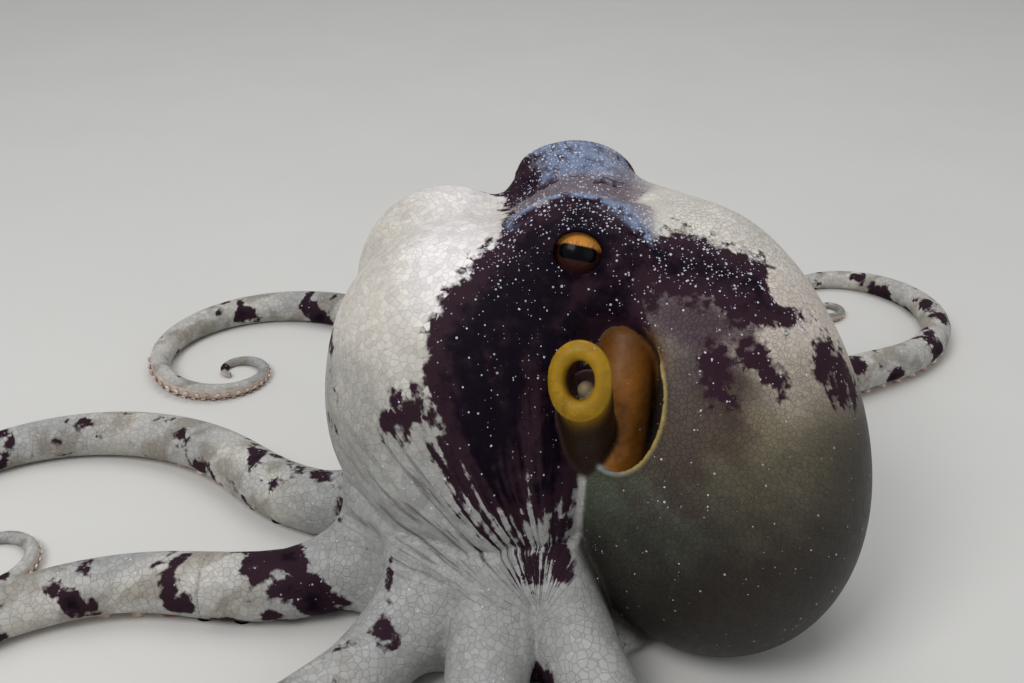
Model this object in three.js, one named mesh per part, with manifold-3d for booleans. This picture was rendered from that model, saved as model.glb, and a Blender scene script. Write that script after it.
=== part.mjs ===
// Octopus at rest on the floor: mantle leaning on its tip, head with two raised eyes, crown of arm
// bases with its web, funnel in the mantle opening, and eight arms coiled flat around the body.
//
// Millimetres, +Z up. The origin is on the floor under the mouth. The head faces -X, the left side
// of the animal is -Y, and every piece that touches the floor is cut flat at z = 0.
//
// The body is one smooth distance field of blended egg shapes, turned into a closed mesh, then parted
// with thin cuts. The arms are tapered lofts along a formula route.

import * as THREE from 'three';
import { mergeVertices } from 'three/addons/utils/BufferGeometryUtils.js';
import Module from 'manifold-3d';

const wasm = await Module();
wasm.setup();

// ---------------------------------------------------------------- driving dimensions

const GAP = 0.3;             // clear space between neighbouring pieces
const WELD = 0.05;           // vertices nearer than this become one
const MANTLE_WALL = 1.5;     // how far outside the mantle's egg shape its seam with the head runs
const DETAIL_SIDES = 10;     // sides of the sections of funnel, collar and lid openings
const EGG_SIDES = 14;        // sides round an egg-shaped cutting solid
const SEAM_SIDES = 20;       // sides round the mantle's seam
const FAR = 400;             // larger than the animal, for cutting blocks

// The body's mesh: a grid of cubic cells between two corners.
const GRID = { cell: 6.7, low: [-93, -97.5, -16.7], high: [98, 96, 108] };

// Egg shapes: centre, half-lengths, turn about x then y in degrees, and taper (wide end up if negative).
const MANTLE = { at: [41.5, -2, 44], radii: [33.5, 33, 50], turn: [-28, -7], taper: 0.14 };
const CROWN = { at: [-8, 8, 42], radii: [34, 37, 45], turn: [-16, -14], taper: -0.1 };
const CROWN_FAR = { at: [-17, 34, 62], radii: [22, 20, 24] };
const SKIRT = { at: [0, 0, 4], radii: [38, 36, 13] };
const HEAD = { at: [13, 27, 70], radii: [17, 18, 22] };
const EYE_DOME_LEFT = { at: [12, 7.7, 81.5], radii: [16, 13, 12] };
const EYE_DOME_RIGHT = { at: [12.7, 39, 82.4], radii: [14.7, 13, 13.2] };
const NAPE = { at: [24.7, 31.5, 76], radii: [14.8, 12, 12] };

// Width over which two shapes blend into each other.
const BLEND = { eye: 3.5, nape: 6, head: 9, crown: 6, skirt: 15, mantle: 6, arm: 9 };

// Eye ball, how far its centre is from its dome's, and the lid opening: half-widths at its outer
// and inner end, length, and how much wider than tall it is.
const EYE = { radius: 7.2, sunk: 5 };
const LIDS = { outer: 5.4, inner: 2.16, length: 14.4, slit: 1.3 };
const GAZE_LEFT = [-0.05, -0.91, 0.41];
const GAZE_RIGHT = [-0.05, 0.91, 0.41];

const OPENING = { at: [20.5, -17, 59.7], radii: [11, 11, 15.5], turn: [-28, -12] };
const COLLAR = { top: [22.5, -5, 65], foot: [19.5, -18, 47], radius: 6 };

const FUNNEL = {
  base: [16.5, -15, 46.5],
  lip: [10.5, -29.6, 71.6],
  rise: [-0.1, -0.5, 0.86],      // direction in which the tube leaves the opening
  aim: [-0.3, -0.85, 0.43],      // direction in which the lip faces
  leave: 9,                      // how far the tube keeps each of these directions
  reach: 8,
  wide: 5.8,                     // half-widths of the lip
  tall: 7.7,
  neck: 1.5,                     // how much narrower the tube is half way
  wall: 3.3,
  bore: 11,                      // depth of the bore, and how much it closes at its end
  close: 0.6,
};

const ARM = {
  root: 8.8,           // half thickness where an arm leaves the web
  tip: 0.9,            // half thickness of its tip
  ring: 28,            // distance of the arm bases from the mouth
  lift: 8,             // how much higher than the floor an arm leaves the crown
  web: 0.1,            // share of the arm that the web holds
  sides: 8,
  tightness: 0.96,     // how far the coil winds up at its tip
  steps: 400,          // places along its route
  longest: 24,         // greatest stretch between two rings of its mesh
  sharpest: 0.8,       // greatest turn between two rings, in radians
  stump: 0.16,         // share of the arm that blends into the body's mesh
  stumpStep: 16,       // places between two rods of that stretch
};

// Block that cuts a stump off where the free arm starts.
const STUMP_BLOCK = { long: 45, wide: 30, high: 80 };

// Where each arm is parted, as shares of its length.
const ARM_PARTINGS = [ARM.web, 0.25, 0.42, 0.62, 0.82, 1];

// Each arm: direction it leaves the mouth and bend before its coil in degrees, a sideways sway,
// how fast it coils, the share of its length where the coil starts, and its length.
const ARMS = {
  left_1: { leaves: 190, bend: -10, sway: 8, coil: 3.3, from: 0.22, length: 262 },
  left_2: { leaves: 231, bend: -14, sway: 0, coil: 3.7, from: 0.25, length: 262 },
  left_3: { leaves: 261, bend: 2, sway: 0, coil: 3.6, from: 0.3, length: 280 },
  left_4: { leaves: 288, bend: 30, sway: 0, coil: 3.3, from: 0.42, length: 290 },
  right_4: { leaves: 48, bend: -20, sway: 0, coil: 3.3, from: 0.44, length: 280 },
  right_3: { leaves: 76, bend: -34, sway: 0, coil: 3.2, from: 0.28, length: 280 },
  right_2: { leaves: 113, bend: -16, sway: 0, coil: 3.4, from: 0.24, length: 275 },
  right_1: { leaves: 154, bend: -8, sway: 12, coil: 3.3, from: 0.25, length: 270 },
};

// Planes that part the body: a point on each and the way it faces.
const HEAD_SEAM = { at: [-4, 0, 86], facing: [0.82, 0, 0.57] };
const WEB_SEAM = { at: [0, 0, 22], facing: [0, 0, 1] };

// ---------------------------------------------------------------- materials

const flesh = (color, roughness = 0.45) => (
  new THREE.MeshStandardMaterial({ color, roughness, metalness: 0 })
);

const SKIN = {
  mantle: flesh(0x8d8270),
  head: flesh(0x2a1d26),
  crown: flesh(0xb9b2a2),
  web: flesh(0x9a907f),
  arm: flesh(0x8f8474),
  funnel: flesh(0xb5892b, 0.35),
  collar: flesh(0x8a5a22, 0.35),
  eye: flesh(0x14161f, 0.08),
};

// ---------------------------------------------------------------- small helpers

const vector = ([x, y, z]) => new THREE.Vector3(x, y, z);
const direction = (v) => vector(v).normalize();
const radians = THREE.MathUtils.degToRad;

/** Smaller of two distances, with a rounded blend of the given width. */
function blend(a, b, width) {
  const share = THREE.MathUtils.clamp(0.5 + (0.5 * (b - a)) / width, 0, 1);
  return b * (1 - share) + a * share - width * share * (1 - share);
}

/** Placement of an egg shape: turned about x, then y, and moved to its centre. */
function placement({ at, turn = [0, 0] }) {
  const euler = new THREE.Euler(radians(turn[0]), radians(turn[1]), 0, 'ZYX');
  return new THREE.Matrix4().makeRotationFromEuler(euler).setPosition(...at);
}

/** Distance function of a tapered ellipsoid. */
function egg(shape) {
  const inverse = placement(shape).invert();
  const [rx, ry, rz] = shape.radii;
  const taper = shape.taper ?? 0;
  const q = new THREE.Vector3();
  return (point) => {
    q.copy(point).applyMatrix4(inverse);
    const width = THREE.MathUtils.clamp(1 - (taper * q.z) / rz, 0.5, 1.6);
    q.set(q.x / (width * rx), q.y / (width * ry), q.z / rz);
    const reach = q.length();
    const slope = Math.hypot(q.x / rx, q.y / ry, q.z / rz);
    return (reach * (reach - 1)) / Math.max(slope, 1e-9);
  };
}

/** Distance function of a chain of round rods through places with their own radii. */
function rods(places) {
  const nearest = new THREE.Vector3();
  return (point) => {
    let least = Infinity;
    for (let i = 1; i < places.length; i += 1) {
      const a = places[i - 1];
      const b = places[i];
      const span = b.at.clone().sub(a.at);
      const share = THREE.MathUtils.clamp(point.clone().sub(a.at).dot(span) / span.lengthSq(), 0, 1);
      nearest.copy(a.at).addScaledVector(span, share);
      const radius = a.radius + (b.radius - a.radius) * share;
      least = Math.min(least, point.distanceTo(nearest) - radius);
    }
    return least;
  };
}

// ---------------------------------------------------------------- solids

/** A three.js geometry as a manifold solid. */
function solid(geometry) {
  const bare = new THREE.BufferGeometry();
  bare.setAttribute('position', geometry.getAttribute('position').clone());
  bare.setIndex(geometry.getIndex());
  const merged = mergeVertices(bare, 1e-4);
  return new wasm.Manifold(new wasm.Mesh({
    numProp: 3,
    vertProperties: Float32Array.from(merged.getAttribute('position').array),
    triVerts: Uint32Array.from(merged.getIndex().array),
  }));
}

/** The largest connected piece of a solid. */
function largest(manifold) {
  const pieces = manifold.decompose();
  return pieces.reduce((best, piece) => (piece.volume() > best.volume() ? piece : best));
}

/** A closed geometry without the slivers that thin cuts leave: near vertices become one. */
function welded(manifold) {
  const mesh = manifold.getMesh();
  const raw = new THREE.BufferGeometry();
  raw.setAttribute('position', new THREE.BufferAttribute(Float32Array.from(mesh.vertProperties), 3));
  raw.setIndex(new THREE.BufferAttribute(Uint32Array.from(mesh.triVerts), 1));
  const geometry = mergeVertices(raw, WELD);
  const index = geometry.getIndex().array;
  const kept = new Map();
  for (let i = 0; i < index.length; i += 3) {
    const face = [...index.subarray(i, i + 3)];
    if (new Set(face).size < 3) continue;
    const key = [...face].sort((a, b) => a - b).join();
    if (!kept.delete(key)) kept.set(key, face);
  }
  geometry.setIndex([...kept.values()].flat());
  return geometry;
}

/** A named mesh made from a solid. */
function named(name, manifold, material) {
  const geometry = welded(largest(manifold));
  geometry.computeVertexNormals();
  const piece = new THREE.Mesh(geometry, material);
  piece.name = name;
  return piece;
}

/** A block that fills the side of a plane towards which it faces, starting `offset` from the plane. */
function block({ at, facing }, offset = 0) {
  const box = new THREE.BoxGeometry(FAR, FAR, FAR);
  box.translate(0, 0, FAR / 2 + offset);
  const upward = new THREE.Vector3(0, 0, 1);
  box.applyQuaternion(new THREE.Quaternion().setFromUnitVectors(upward, direction(facing)));
  box.translate(...at);
  return solid(box);
}

/** A low block across an arm's route, from just before a place on it outwards. */
function armBlock({ at, heading }) {
  const { long, wide, high } = STUMP_BLOCK;
  const box = new THREE.BoxGeometry(long, wide, high);
  box.translate((long - GAP) / 2, 0, 0);
  box.rotateZ(heading);
  box.translate(at.x, at.y, 0);
  return solid(box);
}

/** Keeps the part of a solid on the facing side of a plane, half a gap away from it. */
const ahead = (manifold, plane) => manifold.intersect(block(plane, GAP / 2));

/** Keeps the part of a solid behind a plane, half a gap away from it. */
const behind = (manifold, plane) => manifold.subtract(block(plane, -GAP / 2));

/** An egg shape as a solid, grown outwards. */
function eggSolid(shape, grown = 0, segments = EGG_SIDES) {
  const sphere = new THREE.SphereGeometry(1, segments, segments / 2);
  sphere.rotateX(Math.PI / 2);
  const position = sphere.getAttribute('position');
  const [rx, ry, rz] = shape.radii;
  for (let i = 0; i < position.count; i += 1) {
    const width = 1 - (shape.taper ?? 0) * position.getZ(i);
    position.setXYZ(
      i,
      position.getX(i) * (rx * width + grown),
      position.getY(i) * (ry * width + grown),
      position.getZ(i) * (rz + grown),
    );
  }
  sphere.applyMatrix4(placement(shape));
  return solid(sphere);
}

/** A closed skin over rings of equal size, each a list of points, with flat ends. */
function loft(rings) {
  const sides = rings[0].length;
  const points = rings.flat();
  const faces = [];
  for (let r = 1; r < rings.length; r += 1) {
    for (let s = 0; s < sides; s += 1) {
      const a = (r - 1) * sides + s;
      const b = (r - 1) * sides + ((s + 1) % sides);
      faces.push(a, b, b + sides, a, b + sides, a + sides);
    }
  }
  const last = points.length - sides;
  for (let s = 1; s < sides - 1; s += 1) {
    faces.push(0, s + 1, s, last, last + s, last + s + 1);
  }
  const geometry = new THREE.BufferGeometry().setFromPoints(points);
  geometry.setIndex(faces);
  return solid(geometry);
}

/** A closed mesh of the surface where a distance field is zero, one vertex in each crossed cell. */
function surfaceOf(field, low, high, cell) {
  const [nx, ny, nz] = low.map((value, axis) => Math.ceil((high[axis] - value) / cell) + 1);
  const steps = [1, nx, nx * ny];
  const indexOf = (i, j, k) => i * steps[0] + j * steps[1] + k * steps[2];
  const place = (i, j, k) => new THREE.Vector3(low[0] + i * cell, low[1] + j * cell, low[2] + k * cell);
  const visit = (first, cut, action) => {
    for (let k = first; k < nz - cut; k += 1) {
      for (let j = first; j < ny - cut; j += 1) {
        for (let i = first; i < nx - cut; i += 1) action(i, j, k, indexOf(i, j, k));
      }
    }
  };
  const values = new Float64Array(nx * ny * nz);
  visit(0, 0, (i, j, k, at) => {
    values[at] = field(place(i, j, k));
  });
  const corners = [0, 1, 2, 3, 4, 5, 6, 7].map((n) => (
    (n & 1) * steps[0] + ((n >> 1) & 1) * steps[1] + (n >> 2) * steps[2]
  ));
  const points = [];
  const vertexOf = new Map();
  visit(0, 1, (i, j, k, at) => {
    const inside = corners.filter((corner) => values[at + corner] < 0).length;
    if (inside === 0 || inside === 8) return;
    vertexOf.set(at, points.length);
    points.push(settle(field, place(i + 0.5, j + 0.5, k + 0.5), cell));
  });
  const faces = [];
  visit(1, 1, (i, j, k, at) => {
    for (let axis = 0; axis < 3; axis += 1) {
      const here = values[at] < 0;
      if (here === values[at + steps[axis]] < 0) continue;
      const [b, c] = [steps[(axis + 1) % 3], steps[(axis + 2) % 3]];
      const ring = [at, at - b, at - b - c, at - c].map((cellAt) => vertexOf.get(cellAt));
      const [v0, v1, v2, v3] = here ? ring : ring.reverse();
      const across = points[v0].distanceTo(points[v2]) < points[v1].distanceTo(points[v3]);
      faces.push(...(across ? [v0, v1, v2, v0, v2, v3] : [v0, v1, v3, v1, v2, v3]));
    }
  });
  const geometry = new THREE.BufferGeometry().setFromPoints(points);
  geometry.setIndex(faces);
  return solid(geometry);
}

/** Moves a cell's middle along the field's slope onto the surface, but not out of its cell. */
function settle(field, middle, cell) {
  const point = middle.clone();
  const step = 0.05;
  const slope = new THREE.Vector3();
  for (let round = 0; round < 4; round += 1) {
    const value = field(point);
    slope.set(
      field(point.clone().setX(point.x + step)) - value,
      field(point.clone().setY(point.y + step)) - value,
      field(point.clone().setZ(point.z + step)) - value,
    ).divideScalar(step);
    point.addScaledVector(slope, -value / Math.max(slope.lengthSq(), 0.1));
  }
  const reach = 0.48 * cell;
  return point.clamp(middle.clone().subScalar(reach), middle.clone().addScalar(reach));
}

// ---------------------------------------------------------------- arms

/** Half thickness of an arm at a share of its length. */
const thickness = (share) => ARM.tip + (ARM.root - ARM.tip) * (1 - share) ** 0.9;

/** Points along an arm's route with their heading, half thickness and share of the length. */
function route(arm) {
  const start = radians(arm.leaves);
  const stride = arm.length / ARM.steps;
  const places = [];
  let x = ARM.ring * Math.cos(start);
  let y = ARM.ring * Math.sin(start);
  for (let i = 0; i <= ARM.steps; i += 1) {
    const share = i / ARM.steps;
    const wound = Math.max(0, (share - arm.from) / (1 - arm.from));
    const early = Math.min(1, share / arm.from);
    const eased = early * early * (3 - 2 * early);
    const heading = radians(arm.leaves + arm.bend * eased + arm.sway * Math.sin(2 * Math.PI * early))
      - arm.coil * Math.log(1 - ARM.tightness * wound);
    const radius = thickness(share);
    const rise = ARM.lift * Math.max(0, 1 - share / ARM.web) ** 2;
    const flat = radius * Math.cos(Math.PI / ARM.sides);
    places.push({ share, heading, radius, at: new THREE.Vector3(x, y, flat + rise) });
    x += stride * Math.cos(heading);
    y += stride * Math.sin(heading);
  }
  return places;
}

/** One length of an arm: rings closer together where it turns faster, a flat side on the floor. */
function armLength(places, from, to) {
  const used = places.filter(({ share }) => share >= from - 1e-9 && share <= to + 1e-9);
  const rings = [];
  let due = 0;
  used.forEach((place, i) => {
    if (i > 0) {
      const before = used[i - 1];
      due -= place.at.distanceTo(before.at) / ARM.longest;
      due -= Math.abs(place.heading - before.heading) / ARM.sharpest;
    }
    if (due > 1e-9 && i < used.length - 1) return;
    due = 1;
    rings.push(armRing(place));
  });
  return loft(rings);
}

/** Section of an arm: a regular polygon square to the route, one side down. */
function armRing({ at, heading, radius }) {
  return Array.from({ length: ARM.sides }, (_, side) => {
    const angle = (2 * Math.PI * (side + 0.5)) / ARM.sides - Math.PI / 2;
    const across = radius * Math.cos(angle);
    const height = Math.max(0, at.z + radius * Math.sin(angle));
    return new THREE.Vector3(at.x - across * Math.sin(heading), at.y + across * Math.cos(heading), height);
  });
}

const routes = Object.fromEntries(Object.entries(ARMS).map(([name, arm]) => [name, route(arm)]));

function arms() {
  const group = new THREE.Group();
  for (const [name, places] of Object.entries(routes)) {
    const half = GAP / 2 / ARMS[name].length;
    for (let part = 1; part < ARM_PARTINGS.length; part += 1) {
      const last = part === ARM_PARTINGS.length - 1;
      const from = ARM_PARTINGS[part - 1];
      const to = ARM_PARTINGS[part];
      const label = last ? 'tip' : `length_${part}`;
      const piece = armLength(places, from + half, last ? to : to - half);
      group.add(named(`arm_${name}_${label}`, piece, SKIN.arm));
    }
  }
  return group;
}

// ---------------------------------------------------------------- funnel, collar and eyes

/** The funnel: a bent oval tube with a rolled lip and a blind bore, or the solid space it takes. */
function funnelSolid(grown = 0) {
  const lip = vector(FUNNEL.lip);
  const base = vector(FUNNEL.base);
  const curve = new THREE.CubicBezierCurve3(
    base,
    base.clone().addScaledVector(direction(FUNNEL.rise), FUNNEL.leave),
    lip.clone().addScaledVector(direction(FUNNEL.aim), -FUNNEL.reach),
    lip,
  );
  const length = curve.getLength();
  const ring = (along, inward) => {
    const share = THREE.MathUtils.clamp(along / length, 0, 1);
    const at = curve.getPointAt(share);
    const way = curve.getTangentAt(share);
    at.addScaledVector(way, along - share * length);
    const side = new THREE.Vector3(1, 0, 0).addScaledVector(way, -way.x).normalize();
    const up = way.clone().cross(side);
    return Array.from({ length: DETAIL_SIDES }, (_, i) => {
      const angle = (2 * Math.PI * i) / DETAIL_SIDES;
      return at.clone()
        .addScaledVector(side, (FUNNEL.wide - inward + grown) * Math.cos(angle))
        .addScaledVector(up, (FUNNEL.tall - inward + grown) * Math.sin(angle));
    });
  };
  const neck = (share) => FUNNEL.neck * Math.sin(Math.PI * share);
  const rings = [0, 0.2, 0.4, 0.6, 0.8].map((share) => (
    ring(share * length - grown * (share === 0), neck(share))
  ));
  const roll = FUNNEL.wall / 2;
  for (let turn = 0; turn <= 4; turn += 1) {
    const angle = (Math.PI * turn) / 4;
    if (grown && turn > 2) break;
    rings.push(ring(length - roll + (roll + grown) * Math.sin(angle), roll - roll * Math.cos(angle)));
  }
  if (!grown) {
    rings.push(ring(length - FUNNEL.bore / 2, FUNNEL.wall));
    rings.push(ring(length - FUNNEL.bore, FUNNEL.wall + FUNNEL.close));
  }
  return loft(rings);
}

/** The collar: rounded flesh behind the funnel, inside the mantle opening. */
function collarSolid(grown = 0) {
  const top = vector(COLLAR.top);
  const foot = vector(COLLAR.foot);
  const capsule = new THREE.CapsuleGeometry(COLLAR.radius + grown, top.distanceTo(foot), 4, DETAIL_SIDES);
  const upright = new THREE.Vector3(0, 1, 0);
  const way = top.clone().sub(foot).normalize();
  capsule.applyQuaternion(new THREE.Quaternion().setFromUnitVectors(upright, way));
  capsule.translate(...top.add(foot).multiplyScalar(0.5));
  return solid(capsule);
}

/** Where an eye ball sits in its dome. */
function eyePlace(dome, gaze) {
  return vector(dome.at).addScaledVector(direction(gaze), EYE.sunk);
}

/** An eye ball, or the socket it sits in. */
function eyeBall(centre, grown = 0) {
  return eggSolid({ at: centre.toArray(), radii: Array(3).fill(EYE.radius) }, grown);
}

/** The opening between the lids: an oval tapered plug from the ball out through the dome. */
function lidOpening(centre, gaze) {
  const plug = new THREE.CylinderGeometry(LIDS.outer, LIDS.inner, LIDS.length, DETAIL_SIDES);
  plug.translate(0, LIDS.length / 2, 0);
  plug.scale(1, 1, 1 / LIDS.slit);
  const upright = new THREE.Vector3(0, 1, 0);
  plug.applyQuaternion(new THREE.Quaternion().setFromUnitVectors(upright, direction(gaze)));
  plug.translate(...centre);
  return solid(plug);
}

// ---------------------------------------------------------------- body

/** Distance to the skin of mantle, head, crown, web and the arm bases in one blend. */
function bodyField() {
  const mantle = egg(MANTLE);
  const crown = egg(CROWN);
  const crownFar = egg(CROWN_FAR);
  const skirt = egg(SKIRT);
  const head = egg(HEAD);
  const nape = egg(NAPE);
  const domes = [egg(EYE_DOME_LEFT), egg(EYE_DOME_RIGHT)];
  const bases = Object.values(routes).map((places) => (
    rods(places.filter(({ share }, i) => share <= ARM.stump && i % ARM.stumpStep === 0))
  ));
  return (point) => {
    const arm = Math.min(...bases.map((base) => base(point)));
    const web = blend(skirt(point), arm, BLEND.arm);
    const front = blend(blend(crown(point), crownFar(point), BLEND.crown), web, BLEND.skirt);
    const eyes = domes.reduce((value, dome) => blend(value, dome(point), BLEND.eye), head(point));
    const raised = blend(eyes, nape(point), BLEND.nape);
    return blend(blend(raised, front, BLEND.head), mantle(point), BLEND.mantle);
  };
}

function body() {
  let whole = surfaceOf(bodyField(), GRID.low, GRID.high, GRID.cell);
  whole = whole.subtract(block({ at: [0, 0, 0], facing: [0, 0, -1] }));
  for (const places of Object.values(routes)) {
    whole = whole.subtract(armBlock(places.find(({ share }) => share >= ARM.web)));
  }
  whole = whole.subtract(eggSolid(OPENING));
  whole = whole.subtract(funnelSolid(GAP));
  whole = whole.subtract(collarSolid(GAP));
  const eyes = { left: [EYE_DOME_LEFT, GAZE_LEFT], right: [EYE_DOME_RIGHT, GAZE_RIGHT] };
  const group = new THREE.Group();
  for (const [side, [dome, gaze]] of Object.entries(eyes)) {
    const centre = eyePlace(dome, gaze);
    whole = whole.subtract(eyeBall(centre, GAP)).subtract(lidOpening(centre, gaze));
    group.add(named(`eye_${side}`, eyeBall(centre), SKIN.eye));
  }
  group.add(named('funnel', funnelSolid(), SKIN.funnel));
  group.add(named('collar', collarSolid().subtract(funnelSolid(GAP)), SKIN.collar));
  const front = whole.subtract(eggSolid(MANTLE, MANTLE_WALL + GAP, SEAM_SIDES));
  const lower = behind(front, HEAD_SEAM);
  group.add(named('mantle', whole.intersect(eggSolid(MANTLE, MANTLE_WALL, SEAM_SIDES)), SKIN.mantle));
  group.add(named('head', ahead(front, HEAD_SEAM), SKIN.head));
  group.add(named('crown', ahead(lower, WEB_SEAM), SKIN.crown));
  group.add(named('web', behind(lower, WEB_SEAM), SKIN.web));
  return group;
}

const octopus = new THREE.Group();
octopus.name = 'octopus';
octopus.add(body(), arms());

export default octopus;
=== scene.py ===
"""Octopus at rest on a plain floor: one seamless skin, suckers and two eyes over the fixed frame.

The skin is grown from one smooth distance field in the frame's own millimetres and placed in metres.
The arms are swept along formula routes and joined to the web, and every marking is worked out from
places on the body by functions and noise.
"""

from __future__ import annotations

import logging
import math
from collections.abc import Callable
from dataclasses import dataclass, field
from enum import Enum

import bmesh
import bpy
import numpy as np
from mathutils import Matrix, Vector

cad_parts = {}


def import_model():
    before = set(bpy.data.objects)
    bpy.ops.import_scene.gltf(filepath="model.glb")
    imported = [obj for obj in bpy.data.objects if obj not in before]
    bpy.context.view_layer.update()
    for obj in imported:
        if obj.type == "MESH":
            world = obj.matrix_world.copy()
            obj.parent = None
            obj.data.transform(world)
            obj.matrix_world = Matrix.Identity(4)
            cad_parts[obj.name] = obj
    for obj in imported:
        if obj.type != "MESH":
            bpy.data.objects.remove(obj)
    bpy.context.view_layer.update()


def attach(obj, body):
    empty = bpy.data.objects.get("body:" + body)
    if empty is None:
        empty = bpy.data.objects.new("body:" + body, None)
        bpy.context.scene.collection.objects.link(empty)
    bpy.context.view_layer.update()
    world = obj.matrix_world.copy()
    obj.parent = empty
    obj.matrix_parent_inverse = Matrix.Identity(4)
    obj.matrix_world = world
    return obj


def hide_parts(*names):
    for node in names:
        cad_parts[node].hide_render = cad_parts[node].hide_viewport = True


Place = tuple[float, float, float]
Span = tuple[float, float]
Colour = tuple[int, int, int]
Value = bpy.types.NodeSocket | float | tuple | None

LOG = logging.getLogger("octopus")
MM = 0.001
FAR = 1e3
TINY = 1e-9
WELD = 1e-7
ARM_NAMES = tuple(f"{side}_{n}" for side in ("left", "right") for n in (1, 2, 3, 4))
ARM_PARTS = ("length_1", "length_2", "length_3", "length_4", "tip")


# ------------------------------------------------------------------------------------------------
# Small helpers for arrays of points
# ------------------------------------------------------------------------------------------------


def unit(values: Place | np.ndarray) -> np.ndarray:
    """Return a vector at length one."""
    v = np.asarray(values, float)
    return v / np.linalg.norm(v)


def step(low: float, high: float, values: np.ndarray) -> np.ndarray:
    """Ease from 0 at low to 1 at high, flat outside."""
    t = np.clip((values - low) / (high - low), 0.0, 1.0)
    return t * t * (3.0 - 2.0 * t)


def blend(a: np.ndarray, b: np.ndarray, width: float | np.ndarray) -> np.ndarray:
    """Join two distances with a rounded blend of the given width."""
    share = np.clip(0.5 + 0.5 * (b - a) / width, 0.0, 1.0)
    return b * (1.0 - share) + a * share - width * share * (1.0 - share)


def carve(a: np.ndarray, b: np.ndarray, width: float) -> np.ndarray:
    """Cut shape b out of shape a with an edge rounded by the given width."""
    return -blend(-a, b, width)


def turned(about_x: float, about_y: float) -> np.ndarray:
    """Return the matrix that turns about x, then about y, both in degrees.

    Args:
        about_x: first angle.
        about_y: second angle.

    Returns:
        The matrix.
    """
    cx, sx = math.cos(math.radians(about_x)), math.sin(math.radians(about_x))
    cy, sy = math.cos(math.radians(about_y)), math.sin(math.radians(about_y))
    first = np.array([[1, 0, 0], [0, cx, -sx], [0, sx, cx]])
    second = np.array([[cy, 0, sy], [0, 1, 0], [-sy, 0, cy]])
    return second @ first


def rod(points: np.ndarray, a: np.ndarray, b: np.ndarray, ra: float, rb: float) -> np.ndarray:
    """Distance to a round rod from a to b whose radius goes from ra to rb.

    Args:
        points: array of places.
        a: one end.
        b: the other end.
        ra: radius at a.
        rb: radius at b.

    Returns:
        Distances.
    """
    span = b - a
    share = np.clip((points - a) @ span / (span @ span), 0.0, 1.0)
    nearest = a + share[..., None] * span
    return np.linalg.norm(points - nearest, axis=-1) - (ra + (rb - ra) * share)


def oval_offset(points: np.ndarray, wide: float, tall: float) -> np.ndarray:
    """Measure how far places are outside an upright oval round the last axis."""
    return (np.hypot(points[..., 0] / wide, points[..., 1] / tall) - 1.0) * 0.5 * (wide + tall)


def ring_faces(rings: int, sides: int) -> np.ndarray:
    """Number the four-sided faces between rings of equal size.

    Args:
        rings: how many rings.
        sides: vertices in each ring.

    Returns:
        Rows of four vertex numbers.
    """
    k, i = np.meshgrid(np.arange(rings - 1), np.arange(sides), indexing="ij")
    k, i = k.ravel() * sides, i.ravel()
    j = (i + 1) % sides
    return np.stack([k + i, k + j, k + sides + j, k + sides + i], axis=-1)


def measured(near: np.ndarray, points: np.ndarray, measure: Callable[[np.ndarray], np.ndarray],
             elsewhere: float) -> np.ndarray:
    """Measure only the places that are near, to save time.

    Args:
        near: flags for the places to measure.
        points: array of places.
        measure: what to work out for them.
        elsewhere: the value of all other places.

    Returns:
        One value for each place.
    """
    found = np.full(near.shape, elsewhere)
    if near.any():
        found[near] = measure(points[near])
    return found


def waves(points: np.ndarray, size: float, seed: int) -> np.ndarray:
    """Smooth repeatable noise from -1 to 1: a few sine waves in mixed directions.

    Args:
        points: array of places in millimetres.
        size: length of the longest wave.
        seed: which noise it is.

    Returns:
        One value for each place.
    """
    rng = np.random.default_rng(seed)
    total = np.zeros(points.shape[:-1])
    for octave in range(3):
        ways = rng.normal(size=(4, 3))
        ways /= np.linalg.norm(ways, axis=1)[:, None]
        phases = rng.uniform(0, 2 * math.pi, 4)
        scale = 2 * math.pi / size * 1.9**octave
        for way, phase in zip(ways, phases):
            total += np.sin(points @ way * scale + phase) * 0.55**octave
    return total / 3.2


# ------------------------------------------------------------------------------------------------
# Shapes of the body
# ------------------------------------------------------------------------------------------------


@dataclass(frozen=True)
class Egg:
    """A tapered ellipsoid in millimetres."""

    at: Place
    radii: Place
    turn: Span = (0.0, 0.0)
    taper: float = 0.0
    narrowest_widest: Span = (0.5, 1.6)

    def distance(self, points: np.ndarray) -> np.ndarray:
        """Measure how far points are outside the egg.

        Args:
            points: array of places, last axis x, y, z.

        Returns:
            Distances, negative inside.
        """
        rx, ry, rz = self.radii
        q = (points - np.asarray(self.at)) @ turned(*self.turn)
        width = np.clip(1.0 - self.taper * q[..., 2] / rz, *self.narrowest_widest)
        q = q / np.stack([width * rx, width * ry, np.full(width.shape, rz)], axis=-1)
        reach = np.linalg.norm(q, axis=-1)
        slope = np.linalg.norm(q / np.asarray(self.radii), axis=-1)
        return reach * (reach - 1.0) / np.maximum(slope, TINY)


@dataclass(frozen=True)
class Arm:
    """One arm's route: directions in degrees, shares of its length, and millimetres."""

    leaves: float
    bend: float
    sway: float
    coil: float
    start: float
    length: float


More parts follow.
